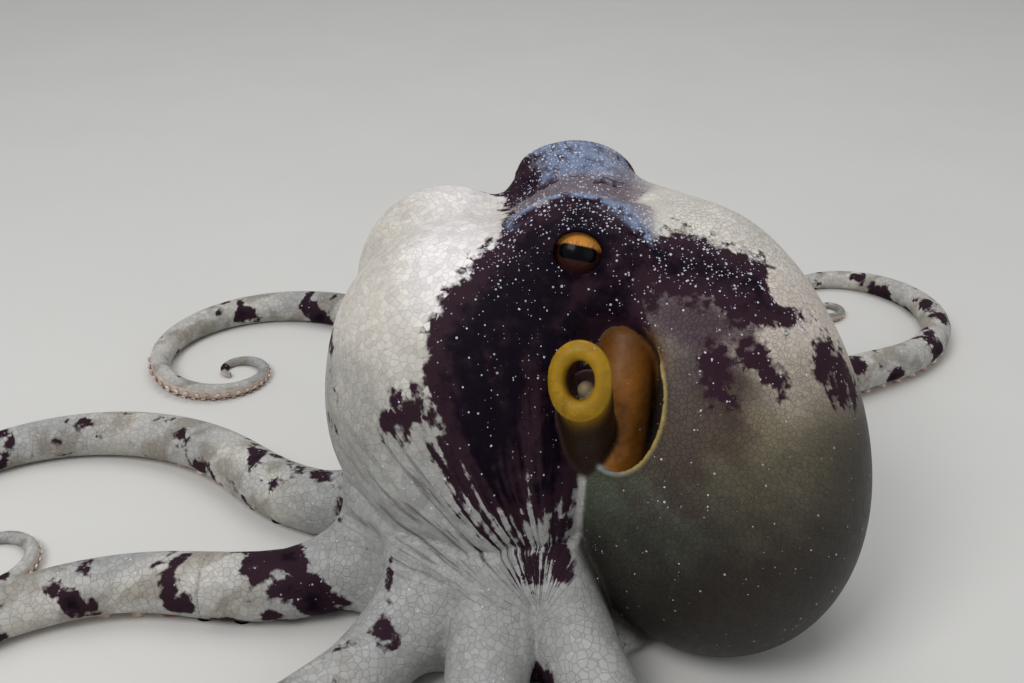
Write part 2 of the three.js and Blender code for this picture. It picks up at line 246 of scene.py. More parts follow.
@dataclass
class ArmPlan:
    """Sizes that all arms share, and the eight routes, as in the frame."""

    root: float = 8.8
    tip: float = 0.9
    ring: float = 28.0
    lift: float = 8.0
    web: float = 0.1
    sides: int = 8
    tightness: float = 0.96
    joint: float = 0.17
    steps: int = 400
    around: int = 28
    roll: float = 62.0
    routes: dict[str, Arm] = field(default_factory=lambda: {
        "left_1": Arm(190, -10, 8, 3.3, 0.22, 262),
        "left_2": Arm(231, -14, 0, 3.7, 0.25, 262),
        "left_3": Arm(261, 2, 0, 3.6, 0.3, 280),
        "left_4": Arm(288, 30, 0, 3.3, 0.42, 290),
        "right_4": Arm(48, -20, 0, 3.3, 0.44, 280),
        "right_3": Arm(76, -34, 0, 3.2, 0.28, 280),
        "right_2": Arm(113, -16, 0, 3.4, 0.24, 275),
        "right_1": Arm(154, -8, 12, 3.3, 0.25, 270),
    })

    def thickness(self, share: np.ndarray) -> np.ndarray:
        """Half thickness at shares of an arm's length."""
        return self.tip + (self.root - self.tip) * (1.0 - share) ** 0.9

    def route(self, arm: Arm) -> dict[str, np.ndarray]:
        """Follow one arm from its base to its tip.

        Args:
            arm: the route's directions and sizes.

        Returns:
            Arrays along the route: share, heading, radius, at (places) and roll.
        """
        share = np.arange(self.steps + 1) / self.steps
        wound = np.maximum(0.0, (share - arm.start) / (1.0 - arm.start))
        early = np.minimum(1.0, share / arm.start)
        eased = early * early * (3.0 - 2.0 * early)
        turn = arm.leaves + arm.bend * eased + arm.sway * np.sin(2 * math.pi * early)
        heading = np.radians(turn) - arm.coil * np.log(1.0 - self.tightness * wound)
        stride = arm.length / self.steps
        first = self.ring * np.array([math.cos(math.radians(arm.leaves)), math.sin(math.radians(arm.leaves))])
        x = first[0] + np.concatenate([[0.0], np.cumsum(np.cos(heading[:-1]) * stride)])
        y = first[1] + np.concatenate([[0.0], np.cumsum(np.sin(heading[:-1]) * stride)])
        radius = self.thickness(share)
        rise = self.lift * np.maximum(0.0, 1.0 - share / self.web) ** 2
        z = radius * math.cos(math.pi / self.sides) + rise
        roll = math.radians(self.roll) * step(arm.start - 0.02, arm.start + 0.3, share)
        return {"share": share, "heading": heading, "radius": radius, "roll": roll,
                "at": np.stack([x, y, z], axis=-1)}


class Side(Enum):
    """The animal's two sides."""

    LEFT = "left"
    RIGHT = "right"


@dataclass(frozen=True)
class EyeSite:
    """Where an eye sits: its dome, the way it looks and how its opening lies."""

    side: Side
    dome: Egg
    gaze: Place
    ball: float = 7.2
    sunk: float = 5.0
    opening: Span = (5.0, 4.3)
    brow: Place = (13.6, 11.4, -0.6)
    tilt: float = -10.0

    def centre(self) -> np.ndarray:
        """Middle of the eye ball."""
        return np.asarray(self.dome.at) + self.sunk * unit(self.gaze)

    def local(self, points: np.ndarray) -> np.ndarray:
        """Return places along the slit, across it upwards, and along the gaze."""
        return (points - self.centre()) @ self.axes()

    def axes(self) -> np.ndarray:
        """Columns: along the slit, across it upwards, and the gaze.

        Returns:
            The matrix of the three directions.
        """
        out = unit(self.gaze)
        along = unit(np.cross((0.0, 0.0, 1.0), out))
        up = np.cross(out, along)
        c, s = math.cos(math.radians(self.tilt)), math.sin(math.radians(self.tilt))
        return np.stack([c * along + s * up, -s * along + c * up, out], axis=-1)


@dataclass
class Funnel:
    """The bent oval tube under the eye."""

    base: Place = (14.0, -16.0, 46.5)
    lip: Place = (10.5, -29.6, 71.6)
    rise: Place = (-0.1, -0.5, 0.86)
    aim: Place = (-0.3, -0.85, 0.43)
    wide: float = 5.8
    tall: float = 7.4
    wall: float = 3.3
    bore: float = 11.0
    neck: float = 0.5
    neck_shift: float = 1.3
    skin: float = 0.2
    leave: Span = (9.0, 8.0)
    pieces: int = 12
    tongue_foot: Place = (0.8, -4.2, -8.0)
    tongue_reach: Span = (2.4, 4.6)
    tongue_radii: Span = (2.3, 1.7)

    def mean(self) -> float:
        """Mean half-width of the mouth."""
        return 0.5 * (self.wide + self.tall)

    def curve(self) -> np.ndarray:
        """Places along the tube's middle.

        Returns:
            One row for each place.
        """
        base, lip = np.asarray(self.base), np.asarray(self.lip)
        second = base + self.leave[0] * unit(self.rise)
        third = lip - self.leave[1] * unit(self.aim)
        t = np.linspace(0.0, 1.0, self.pieces)[:, None]
        return ((1 - t) ** 3 * base + 3 * (1 - t) ** 2 * t * second
                + 3 * (1 - t) * t**2 * third + t**3 * lip)

    def axes(self) -> tuple[np.ndarray, np.ndarray]:
        """Return the mouth's own sideways and upward directions.

        Returns:
            Two directions at length one.
        """
        out = unit(self.aim)
        side = unit(np.array([1.0, 0.0, 0.0]) - out[0] * out)
        return side, np.cross(out, side)

    def tongue(self, points: np.ndarray) -> np.ndarray:
        """Measure the distance to the flap inside the bore.

        Args:
            points: array of places.

        Returns:
            Distances.
        """
        side, up = self.axes()
        out = unit(self.aim)
        aside, above, ahead = self.tongue_foot
        foot = np.asarray(self.lip) + ahead * out + aside * side + above * up
        tip = foot + self.tongue_reach[1] * out + self.tongue_reach[0] * up
        return rod(points, foot, tip, *self.tongue_radii)

    def mouth(self, points: np.ndarray) -> tuple[np.ndarray, np.ndarray]:
        """Measure points from the lip's plane.

        Args:
            points: array of places.

        Returns:
            Height in front of the lip's plane, and distance from its axis scaled to a round tube.
        """
        out = unit(self.aim)
        side, up = self.axes()
        q = points - np.asarray(self.lip)
        return q @ out, np.hypot(q @ side / self.wide, q @ up / self.tall) * self.mean()


@dataclass
class BodyShape:
    """The whole body as one distance field: the shapes of the frame's solids, and the skin's detail."""

    mantle: Egg = Egg((41.5, -2, 44), (33.5, 33, 50), (-28, -7), 0.14)
    crown: Egg = Egg((-8, 8, 42), (34, 37, 45), (-16, -14), -0.1)
    crown_far: Egg = Egg((-17, 34, 62), (22, 20, 24))
    skirt: Egg = Egg((0, 0, 4), (38, 36, 13))
    head: Egg = Egg((13, 27, 70), (17, 18, 22))
    nape: Egg = Egg((24.7, 31.5, 76), (14.8, 12, 12))
    opening: Egg = Egg((20.5, -17, 59.7), (11, 11, 15.5), (-28, -12))
    collar_top: Place = (23.0, -3.5, 68.0)
    collar_foot: Place = (19.5, -18.0, 47.0)
    collar_radius: float = 6.0
    eyes: tuple[EyeSite, ...] = (
        EyeSite(Side.LEFT, Egg((12, 7.7, 81.5), (16, 13, 12)), (-0.05, -0.91, 0.41)),
        EyeSite(Side.RIGHT, Egg((12.7, 39, 82.4), (14.7, 13, 13.2)), (-0.05, 0.91, 0.41), tilt=10.0),
    )
    funnel: Funnel = field(default_factory=Funnel)
    arms: ArmPlan = field(default_factory=ArmPlan)
    lid: float = 0.9
    rim: float = 0.5
    ridge_axis: tuple[float, float] = (-4.0, 6.0)
    ridge_width: float = 0.21
    ridge_height: float = 2.2
    funnel_reach: float = 40.0
    arm_blend: float = 9.0
    crown_blend: float = 3.0
    skirt_blend: float = 15.0
    dome_blend: float = 3.5
    nape_blend: float = 6.0
    head_blend: float = 9.0
    crease_widths: Place = (2.5, 3.5, 9.0)
    crease_heights: tuple[Span, Span] = ((30.0, 60.0), (64.0, 82.0))
    lid_reach: float = 2.6
    lid_edge: Span = (0.55, 0.75)
    lid_blend: float = 1.6
    lid_round: float = 0.5
    socket_gap: float = 0.12
    brow_reach: float = 20.0
    brow_ridge: float = 1.3
    brow_rise: Span = (1.0, 7.0)
    brow_blend: float = 2.2
    rim_up: Span = (0.469, 0.883)
    rim_heights: Span = (58.0, 50.0)
    rim_offset: Span = (0.1, 0.2)
    rim_blend: float = 1.2
    rim_round: Span = (1.0, 3.0)
    collar_blend: float = 1.4
    tube_blend: float = 0.8
    lip_blend: float = 2.2
    bore_taper: float = 0.05
    bore_round: float = 0.9
    funnel_blend: float = 1.2

    def __post_init__(self) -> None:
        """Follow every arm once."""
        self.routes = {name: self.arms.route(arm) for name, arm in self.arms.routes.items()}

    def collar_line(self) -> tuple[np.ndarray, np.ndarray]:
        """Top and foot of the collar."""
        return np.asarray(self.collar_top), np.asarray(self.collar_foot)

    def arm_bases(self, points: np.ndarray) -> np.ndarray:
        """Distance to the arms' first stretch, which the web holds."""
        return measured(points[..., 2] < 30.0, points, self.low_arm_bases, FAR)

    def low_arm_bases(self, points: np.ndarray) -> np.ndarray:
        """Distance from low places to the arms' first stretch.

        Args:
            points: array of places, one row each.

        Returns:
            Distances.
        """
        found = np.full(len(points), FAR)
        for route in self.routes.values():
            picks = [i for i in range(0, self.arms.steps, 10) if route["share"][i] <= self.arms.joint + 0.06]
            middle = route["at"][picks[len(picks) // 2]]
            near = np.linalg.norm(points - middle, axis=-1) < 48.0
            if not near.any():
                continue
            chain = [rod(points[near], route["at"][i], route["at"][j], route["radius"][i], route["radius"][j])
                     for i, j in zip(picks[:-1], picks[1:])]
            found[near] = np.minimum(found[near], np.minimum.reduce(chain))
        return found

    def arm_ridges(self, points: np.ndarray) -> np.ndarray:
        """Height of the low ridges that carry each arm's base up the crown.

        Args:
            points: array of places.

        Returns:
            Heights in millimetres.
        """
        height = points[..., 2]
        share = step(68.0, 30.0, height) * step(3.0, 14.0, height)
        share = share * step(56.0, 42.0, np.hypot(points[..., 0], points[..., 1]))
        crest = measured(share > 0.0, points, self.ridge_crests, 0.0)
        return self.ridge_height * (crest - 0.4) * share

    def ridge_crests(self, points: np.ndarray) -> np.ndarray:
        """Weigh how near places are to the line of an arm's base, seen from above.

        Args:
            points: array of places, one row each.

        Returns:
            Weights from 0 to 1.
        """
        leaves = np.radians([arm.leaves for arm in self.arms.routes.values()])
        way = np.arctan2(points[:, 1] - self.ridge_axis[1], points[:, 0] - self.ridge_axis[0])
        off = np.abs((way[:, None] - leaves + math.pi) % (2 * math.pi) - math.pi).min(axis=1)
        return np.exp(-((off / self.ridge_width) ** 2))

    def outside(self, points: np.ndarray) -> np.ndarray:
        """Distance to the body before its openings are cut.

        Args:
            points: array of places.

        Returns:
            Distances.
        """
        web = blend(self.skirt.distance(points), self.arm_bases(points), self.arm_blend)
        crown = blend(self.crown.distance(points), self.crown_far.distance(points), self.crown_blend)
        front = blend(crown, web, self.skirt_blend) - self.arm_ridges(points)
        head = self.head.distance(points)
        for eye in self.eyes:
            head = blend(head, eye.dome.distance(points), self.dome_blend)
        head = blend(head, self.nape.distance(points), self.nape_blend)
        joined = blend(head, front, self.head_blend)
        narrow, wider, widest = self.crease_widths
        sides, top = self.crease_heights
        crease = narrow + wider * step(*sides, points[..., 2]) + widest * step(*top, points[..., 2])
        return blend(joined, self.mantle.distance(points), crease)

    def eye_openings(self, points: np.ndarray, body: np.ndarray) -> np.ndarray:
        """Add the lids' raised edges and cut the sockets.

        Args:
            points: array of places.
            body: distances so far.

        Returns:
            Distances.
        """
        for eye in self.eyes:
            q = eye.local(points)
            near = np.linalg.norm(q, axis=-1) < self.lid_reach * eye.ball
            if not near.any():
                continue
            p, value = q[near], body[near]
            off = oval_offset(p, *eye.opening)
            reach = np.linalg.norm(p, axis=-1)
            edge = np.hypot(off - self.lid_edge[0] * self.lid, reach - eye.ball - self.lid_edge[1]) - self.lid
            value = blend(value, np.where(p[..., 2] > 0, edge, FAR), self.lid_blend)
            plug = np.where(p[..., 2] > 0, off + 0.05, FAR)
            value = carve(value, plug, self.lid_round)
            body[near] = carve(value, reach - eye.ball - self.socket_gap, 0.1)
        return body

    def brows(self, points: np.ndarray, body: np.ndarray) -> np.ndarray:
        """Raise a thin brow over the upper half of each eye dome.

        Args:
            points: array of places.
            body: distances so far.

        Returns:
            Distances.
        """
        for eye in self.eyes:
            q = eye.local(points)
            near = (np.linalg.norm(q, axis=-1) < self.brow_reach) & (q[..., 1] > self.brow_rise[0])
            if not near.any():
                continue
            p = q[near]
            wide, tall, depth = eye.brow
            ridge = np.hypot(oval_offset(p, wide, tall), p[..., 2] - depth)
            ridge = ridge - self.brow_ridge * step(*self.brow_rise, p[..., 1])
            body[near] = blend(body[near], ridge, self.brow_blend)
        return body

    def mantle_opening(self, points: np.ndarray, body: np.ndarray) -> np.ndarray:
        """Cut the mantle opening, with a thin raised edge, and put the collar in it.

        Args:
            points: array of places.
            body: distances so far.

        Returns:
            Distances.
        """
        hole = self.opening.distance(points)
        height = points[..., 1] * self.rim_up[0] + points[..., 2] * self.rim_up[1]
        edged = step(*self.rim_heights, height)
        lip = np.hypot(body + self.rim_offset[0], hole - self.rim_offset[1]) - self.rim * edged
        body = blend(body, np.where(edged > 0.0, lip, FAR), self.rim_blend)
        body = carve(body, hole, self.rim_round[0] + self.rim_round[1] * (1.0 - edged))
        collar = rod(points, *self.collar_line(), self.collar_radius, self.collar_radius)
        return blend(body, collar, self.collar_blend)

    def funnel_tube(self, points: np.ndarray) -> np.ndarray:
        """Distance to the funnel with its rolled lip and its bore.

        Args:
            points: array of places.

        Returns:
            Distances.
        """
        line = self.funnel.curve()
        tube = np.full(points.shape[:-1], FAR)
        shares = np.linspace(0.0, 1.0, self.funnel.pieces)
        narrowing = self.funnel.neck * np.sin(math.pi * shares**self.funnel.neck_shift)
        radii = self.funnel.wide - self.funnel.skin - narrowing
        stretch = (self.funnel.tall - self.funnel.wide) * step(0.2, 1.0, shares)
        up = self.funnel.axes()[1]
        for lean in (-1.0, 0.0, 1.0):
            chain = line + lean * stretch[:, None] * up
            for a, b, ra, rb in zip(chain[:-1], chain[1:], radii[:-1], radii[1:]):
                tube = blend(tube, rod(points, a, b, ra, rb), self.tube_blend)
        front, out = self.funnel.mouth(points)
        roll = 0.5 * self.funnel.wall
        mean = self.funnel.mean()
        lip = np.hypot(out - mean + roll, front + roll) - roll
        tube = blend(np.maximum(tube, front + roll), lip, self.lip_blend)
        inner = out - (mean - 2 * roll) + self.bore_taper * np.minimum(front, 0.0)
        tube = carve(tube, np.maximum(inner, -front - self.funnel.bore), self.bore_round)
        return blend(tube, self.funnel.tongue(points), self.tube_blend)

    def folds(self, points: np.ndarray) -> np.ndarray:
        """Depth of the web's drawn skin: creases that fan out from its lower left front."""
        return measured(FoldFan().place(points)[2] > 0.0, points, self.fold_depth, 0.0)

    @staticmethod
    def fold_depth(points: np.ndarray) -> np.ndarray:
        """Depth of the creases at places in the fan.

        Args:
            points: array of places.

        Returns:
            Depths in millimetres.
        """
        fan = FoldFan()
        angle, reach, strength = fan.place(points)
        warp = 0.5 * waves(points, 16.0, 5)
        ridges = 0.6 * np.sin(angle * 21.0 + warp * 2.0) + 0.4 * np.sin(angle * 37.0 - warp * 3.0 + 1.0)
        return fan.depth * strength * ridges * step(*fan.starts, reach)

    def distance(self, points: np.ndarray) -> np.ndarray:
        """Measure how far points are outside the finished skin.

        Args:
            points: array of places in millimetres, last axis x, y, z.

        Returns:
            Distances in millimetres, negative inside.
        """
        body = self.outside(points) + self.folds(points)
        body = self.brows(points, body)
        body = self.eye_openings(points, body)
        body = self.mantle_opening(points, body)
        middle = self.funnel.curve().mean(axis=0)
        near = np.linalg.norm(points - middle, axis=-1) < self.funnel_reach
        return blend(body, measured(near, points, self.funnel_tube, FAR), self.funnel_blend)


@dataclass(frozen=True)
class FoldFan:
    """Creases that fan out over the front of the web from one place near the floor."""

    foot: Place = (3.5, -36.0, 18.0)
    facing: Place = (-0.25, -0.85, 0.45)
    reach: float = 68.0
    fades: tuple[float, ...] = (30.0, -26.0, -10.0, -2.0, 12.0)
    right_end: Span = (14.0, 4.0)
    floor: Span = (3.0, 9.0)
    depth: float = 0.7
    starts: Span = (6.0, 26.0)

    def place(self, points: np.ndarray) -> tuple[np.ndarray, np.ndarray, np.ndarray]:
        """Place points in the fan.

        Args:
            points: array of places in millimetres.

        Returns:
            Angle round the fan's foot, distance from it, and the creases' strength there.
        """
        out = unit(self.facing)
        side = unit(np.cross((0.0, 0.0, 1.0), out))
        up = np.cross(out, side)
        q = points - np.asarray(self.foot)
        across, above, ahead = q @ side, q @ up, q @ out
        angle = np.arctan2(across, above)
        reach = np.hypot(across, above)
        full, behind, level, under, over = self.fades
        strength = step(self.reach, full, reach) * step(behind, level, ahead) * step(under, over, above)
        strength = strength * step(*self.right_end, points[..., 0]) * step(*self.floor, points[..., 2])
        return angle, reach, strength


# ------------------------------------------------------------------------------------------------
# From the distance field to a net of faces
# ------------------------------------------------------------------------------------------------


@dataclass
class SkinNet:
    """Wraps a net of four-sided faces round the body's distance field."""

    shape: BodyShape
    cell: float = 0.8
    block: int = 8
    low: tuple[float, float] = (-98.0, -98.0)
    high: Place = (102.0, 98.0, 99.0)
    floor_offset: float = 1.4

    def settle(self, points: np.ndarray, rounds: int = 3) -> np.ndarray:
        """Move points onto the skin along the field's slope.

        Args:
            points: places near the skin.
            rounds: how many corrections to make.

        Returns:
            The corrected places, none below the floor.
        """
        eps = 0.04
        found = points.copy()
        for _ in range(rounds):
            value = self.floored(found)
            slope = np.empty_like(found)
            for axis in range(3):
                moved = found.copy()
                moved[:, axis] += eps
                slope[:, axis] = (self.floored(moved) - value) / eps
            size = np.maximum((slope**2).sum(axis=1), 0.25)
            way = slope * (value / size)[:, None]
            length = np.linalg.norm(way, axis=1)
            way *= np.minimum(1.0, 0.5 * self.cell / np.maximum(length, 1e-9))[:, None]
            found -= way
        found[:, 2] = np.maximum(found[:, 2], 0.0)
        return found

    def floored(self, points: np.ndarray) -> np.ndarray:
        """Distance to the skin with the floor as its underside."""
        return np.maximum(self.shape.distance(points), -points[..., 2])

    def values(self) -> tuple[np.ndarray, np.ndarray]:
        """Fill the lattice, with true distances only near the skin.

        Returns:
            The lattice of distances, and its first corner.
        """
        low = np.array([*self.low, -self.floor_offset * self.cell])
        counts = np.ceil((np.asarray(self.high) - low) / (self.cell * self.block)).astype(int)
        middle = [(np.arange(n) + 0.5) * self.block * self.cell + low[i] for i, n in enumerate(counts)]
        centres = np.stack(np.meshgrid(*middle, indexing="ij"), axis=-1)
        rough = self.shape.distance(centres.reshape(-1, 3)).reshape(counts)
        grid = np.where(rough < 0, -FAR, FAR).astype(np.float32)
        for axis in range(3):
            grid = np.repeat(grid, self.block, axis=axis)
        keep = np.argwhere(np.abs(rough) < self.block * self.cell * 0.87 + 3.5)
        local = np.stack(np.meshgrid(*[np.arange(self.block)] * 3, indexing="ij"), axis=-1)
        for start in range(0, len(keep), 256):
            batch = keep[start:start + 256]
            index = batch[:, None, None, None, :] * self.block + local[None]
            points = index * self.cell + low
            near = self.floored(points.reshape(-1, 3)).reshape(index.shape[:-1])
            grid[index[..., 0], index[..., 1], index[..., 2]] = near
        grid[:, :, :2] = np.maximum(grid[:, :, :2], 0.4 * self.cell)
        grid[[0, -1]] = FAR
        grid[:, [0, -1]] = FAR
        grid[:, :, -1] = FAR
        return grid, low

    def wrap(self) -> tuple[np.ndarray, np.ndarray]:
        """Make the net.

        Returns:
            Vertices in millimetres, and faces as rows of four vertex numbers.
        """
        grid, low = self.values()
        inside = grid < 0
        shape = np.array(grid.shape) - 1
        corners = [(i, j, k) for i in (0, 1) for j in (0, 1) for k in (0, 1)]
        total = np.zeros(shape, np.uint8)
        for c in corners:
            total += self.corner(inside, c)
        cells = np.argwhere((total > 0) & (total < 8))
        number = np.full(shape, -1, np.int32)
        number[cells[:, 0], cells[:, 1], cells[:, 2]] = np.arange(len(cells))
        place = np.zeros((len(cells), 3))
        crossings = np.zeros(len(cells))
        for c in corners:
            for axis in range(3):
                if c[axis]:
                    continue
                far = tuple(v + (1 if i == axis else 0) for i, v in enumerate(c))
                a = grid[tuple((cells + c).T)].astype(float)
                b = grid[tuple((cells + far).T)].astype(float)
                cross = (a < 0) != (b < 0)
                share = np.where(cross, a / np.where(cross, a - b, 1.0), 0.0)
                where = np.tile(np.array(c, float), (len(cells), 1))
                where[:, axis] += share
                place += where * cross[:, None]
                crossings += cross
        vertices = (cells + place / crossings[:, None]) * self.cell + low
        faces = [self.quads(inside, number, axis) for axis in range(3)]
        return self.settle(vertices), np.concatenate(faces)

    @staticmethod
    def corner(inside: np.ndarray, c: tuple[int, int, int]) -> np.ndarray:
        """Return the lattice seen from one corner of every cell."""
        n = inside.shape
        return inside[c[0]:n[0] - 1 + c[0], c[1]:n[1] - 1 + c[1], c[2]:n[2] - 1 + c[2]]

    @staticmethod
    def quads(inside: np.ndarray, number: np.ndarray, axis: int) -> np.ndarray:
        """Make one face for each lattice edge along an axis that crosses the skin.

        Args:
            inside: lattice of inside flags.
            number: vertex number of each cell, or -1.
            axis: 0, 1 or 2.

        Returns:
            Rows of four vertex numbers, wound outward.
        """
        second, third = (axis + 1) % 3, (axis + 2) % 3
        near = np.take(inside, np.arange(inside.shape[axis] - 1), axis=axis)
        ahead = np.take(inside, np.arange(1, inside.shape[axis]), axis=axis)
        edges = np.argwhere(near != ahead)
        limits = np.array(number.shape)
        ok = (edges[:, second] > 0) & (edges[:, third] > 0)
        ok &= (edges[:, second] < limits[second]) & (edges[:, third] < limits[third])
        edges = edges[ok]
        outward = near[tuple(edges.T)]
        ring = []
        for back_second, back_third in ((1, 1), (0, 1), (0, 0), (1, 0)):
            cell = edges.copy()
            cell[:, second] -= back_second
            cell[:, third] -= back_third
            ring.append(number[tuple(cell.T)])
        faces = np.stack(ring, axis=-1)
        faces[~outward] = faces[~outward][:, ::-1]
        return faces[(faces >= 0).all(axis=1)]


# ------------------------------------------------------------------------------------------------
# Markings, as functions of the place on the body
# ------------------------------------------------------------------------------------------------


def linear(red: int, green: int, blue: int) -> np.ndarray:
    """Turn a display colour from 0 to 255 into linear light."""
    c = np.array([red, green, blue]) / 255.0
    return np.where(c <= 0.04045, c / 12.92, ((c + 0.055) / 1.055) ** 2.4)


@dataclass(frozen=True)
class Palette:
    """The animal's colours, and some painted light: shadow and the mantle cavity's dark grey are painted
    shade, sheen is a painted highlight, and the bluish haze is partly painted sky sheen.
    """

    cream: Colour = (206, 200, 190)
    # painted highlight on the crown and along its lower edge
    sheen: Colour = (232, 226, 224)
    grey: Colour = (162, 160, 154)
    web: Colour = (164, 164, 163)
    beige: Colour = (200, 189, 178)
    tan: Colour = (116, 106, 86)
    olive: Colour = (78, 73, 58)
    moss: Colour = (86, 96, 80)
    umber: Colour = (37, 31, 29)
    sepia: Colour = (62, 48, 40)
    shadow: Colour = (25, 13, 10)
    plum: Colour = (64, 44, 52)
    crown_top: Colour = (104, 92, 100)
    ochre: Colour = (152, 115, 10)
    brass: Colour = (168, 146, 84)
    lid: Colour = (36, 18, 18)
    ochre_deep: Colour = (104, 70, 28)
    rust: Colour = (150, 94, 32)
    bore: Colour = (88, 56, 58)
    # painted shade inside the mantle opening
    cavity_shade: Colour = (52, 44, 46)
    pearl: Colour = (140, 146, 148)
    # bluish haze: partly dust, partly painted sky sheen
    haze_and_sky_sheen: Colour = (100, 112, 142)
    under: Colour = (214, 196, 182)


@dataclass(frozen=True)
class Stroke:
    """A marking: a chain of round dabs in the side plane, each (along, up, radius) in mm."""

    dabs: tuple[Place, ...]

    def distance(self, flat: np.ndarray) -> np.ndarray:
        """Distance from places in the side plane to the stroke's edge.

        Args:
            flat: places along and up in the side plane.

        Returns:
            Distances.
        """
        places = [(np.array(d[:2]), d[2]) for d in self.dabs]
        if len(places) == 1:
            return np.linalg.norm(flat - places[0][0], axis=-1) - places[0][1]
        parts = [rod(flat, a, b, ra, rb) for (a, ra), (b, rb) in zip(places[:-1], places[1:])]
        return np.minimum.reduce(parts)


@dataclass(frozen=True)
class Markings:
    """Where the dark and pale marks lie, the same on both sides of the animal."""

    up: Place = (0.0, 0.46947, 0.88295)
    dark: tuple[Stroke, ...] = (
        Stroke(((11.1, 75.8, 13.0), (6.5, 74.0, 12.5))),
        Stroke((
            (1.5, 66.5, 14.0), (-6.5, 56.1, 12.8), (-6.8, 44.7, 12.2), (-5.4, 36.4, 11.2), (-4.1, 28.5, 6.9),
        )),
        Stroke(((17.0, 65.5, 8.5), (6.5, 58.0, 8.0), (7.5, 45.0, 8.0), (5.8, 28.5, 7.6))),
        Stroke(((-25.7, 42.6, 3.0), (-21.9, 42.2, 3.0))),
        Stroke(((-9.1, 23.9, 1.9), (-6.6, 17.3, 1.5))),
        Stroke(((-0.3, 20.8, 2.2), (1.7, 9.0, 1.8))),
        Stroke(((7.1, 22.9, 1.9), (8.6, 10.2, 1.8))),
        Stroke(((-13.8, 30.2, 1.8), (-10.7, 22.9, 1.1))),
        Stroke(((24.6, 75.8, 6.2), (37.0, 72.1, 6.2), (46.4, 68.8, 6.6), (54.3, 60.9, 2.9))),
        Stroke(((37.7, 50.5, 4.2), (40.1, 45.7, 2.5))),
        Stroke(((45.7, 52.6, 2.9), (49.5, 48.8, 1.9))),
        Stroke(((61.9, 54.7, 2.9), (65.7, 47.8, 3.3))),
    )
    plum: tuple[Stroke, ...] = (Stroke(((26.0, 67.0, 8.0), (36.0, 61.0, 8.0))),)
    brown: tuple[Stroke, ...] = (Stroke(((32.0, 57.0, 6.0), (35.5, 48.5, 9.5), (30.0, 33.5, 7.0))),)
    pale: tuple[Stroke, ...] = (Stroke(((52.6, 67.5, 3.2),)),)

    head_middle: float = 23.3
    mantle_middle: Place = (-2.0, 0.53, 44.0)
    turnover: Span = (15.0, 35.0)
    fold: Span = (64.0, 1.5)

    def middle(self, points: np.ndarray) -> np.ndarray:
        """Return the animal's mid-plane at each place: upright in the head, leaning in the mantle.

        Args:
            points: array of places.

        Returns:
            How far along y the mid-plane lies.
        """
        tilt = step(*self.turnover, points[:, 0])
        start, lean, height = self.mantle_middle
        return self.head_middle * (1.0 - tilt) + (start + lean * (points[:, 2] - height)) * tilt

    def folded(self, points: np.ndarray) -> np.ndarray:
        """Bring places on the animal's far side over to its near side.

        Args:
            points: array of places.

        Returns:
            The same places on the near side.
        """
        middle = self.middle(points)
        near = points.copy()
        near[:, 1] = middle - (np.sqrt((points[:, 1] - middle) ** 2 + self.fold[0]) - self.fold[1])
        return near

    def nearest(self, kind: str, flat: np.ndarray) -> np.ndarray:
        """Distance from places in the side plane to the nearest mark of a kind."""
        return np.minimum.reduce([stroke.distance(flat) for stroke in getattr(self, kind)])

    def side_plane(self, points: np.ndarray) -> np.ndarray:
        """Return along and up in the animal's side plane."""
        return np.stack([points[:, 0], points @ np.asarray(self.up)], axis=-1)


@dataclass(frozen=True)
class Survey:
    """What is known of every place: side-plane position, noises, and shares of the body's parts."""

    points: np.ndarray
    flat: np.ndarray
    up: np.ndarray
    coarse: np.ndarray
    fine: np.ndarray
    mantle: np.ndarray
    crown: np.ndarray
    free: np.ndarray
    on_mantle: np.ndarray
    on_head: np.ndarray
    oral: np.ndarray
    arch: np.ndarray
    crest: np.ndarray

    @property
    def a(self) -> np.ndarray:
        """Place along the side plane."""
        return self.flat[:, 0]

    @property
    def b(self) -> np.ndarray:
        """Height in the side plane."""
        return self.flat[:, 1]


@dataclass(frozen=True)
class Wash:
    """A colour laid on between two heights of the side plane, roughened by the two noises."""

    colour: str
    bare: float
    full: float
    lean: float = 0.0
    lean_from: float = 40.0
    coarse: float = 0.0
    fine: float = 0.0
    weight: float = 1.0
    reach: Span | None = None

    def cover(self, s: Survey) -> np.ndarray:
        """Weigh the colour at every place.

        Args:
            s: the surveyed places.

        Returns:
            Weights from 0 to 1.
        """
        level = s.b + self.lean * (s.a - self.lean_from) + self.coarse * s.coarse + self.fine * s.fine
        cover = step(self.bare, self.full, level)
        if self.reach:
            cover = cover * step(*self.reach, s.a)
        return cover * self.weight


@dataclass(frozen=True)
class Patch:
    """A soft round patch of colour in the side plane."""

    colour: str
    at: Span
    bare: float
    full: float
    squash: float = 1.0
    fine: float = 0.0
    weight: float = 1.0

    def cover(self, s: Survey) -> np.ndarray:
        """Weigh the colour at every place."""
        level = np.hypot(s.a - self.at[0], (s.b - self.at[1]) * self.squash) + self.fine * s.fine
        return step(self.bare, self.full, level) * self.weight


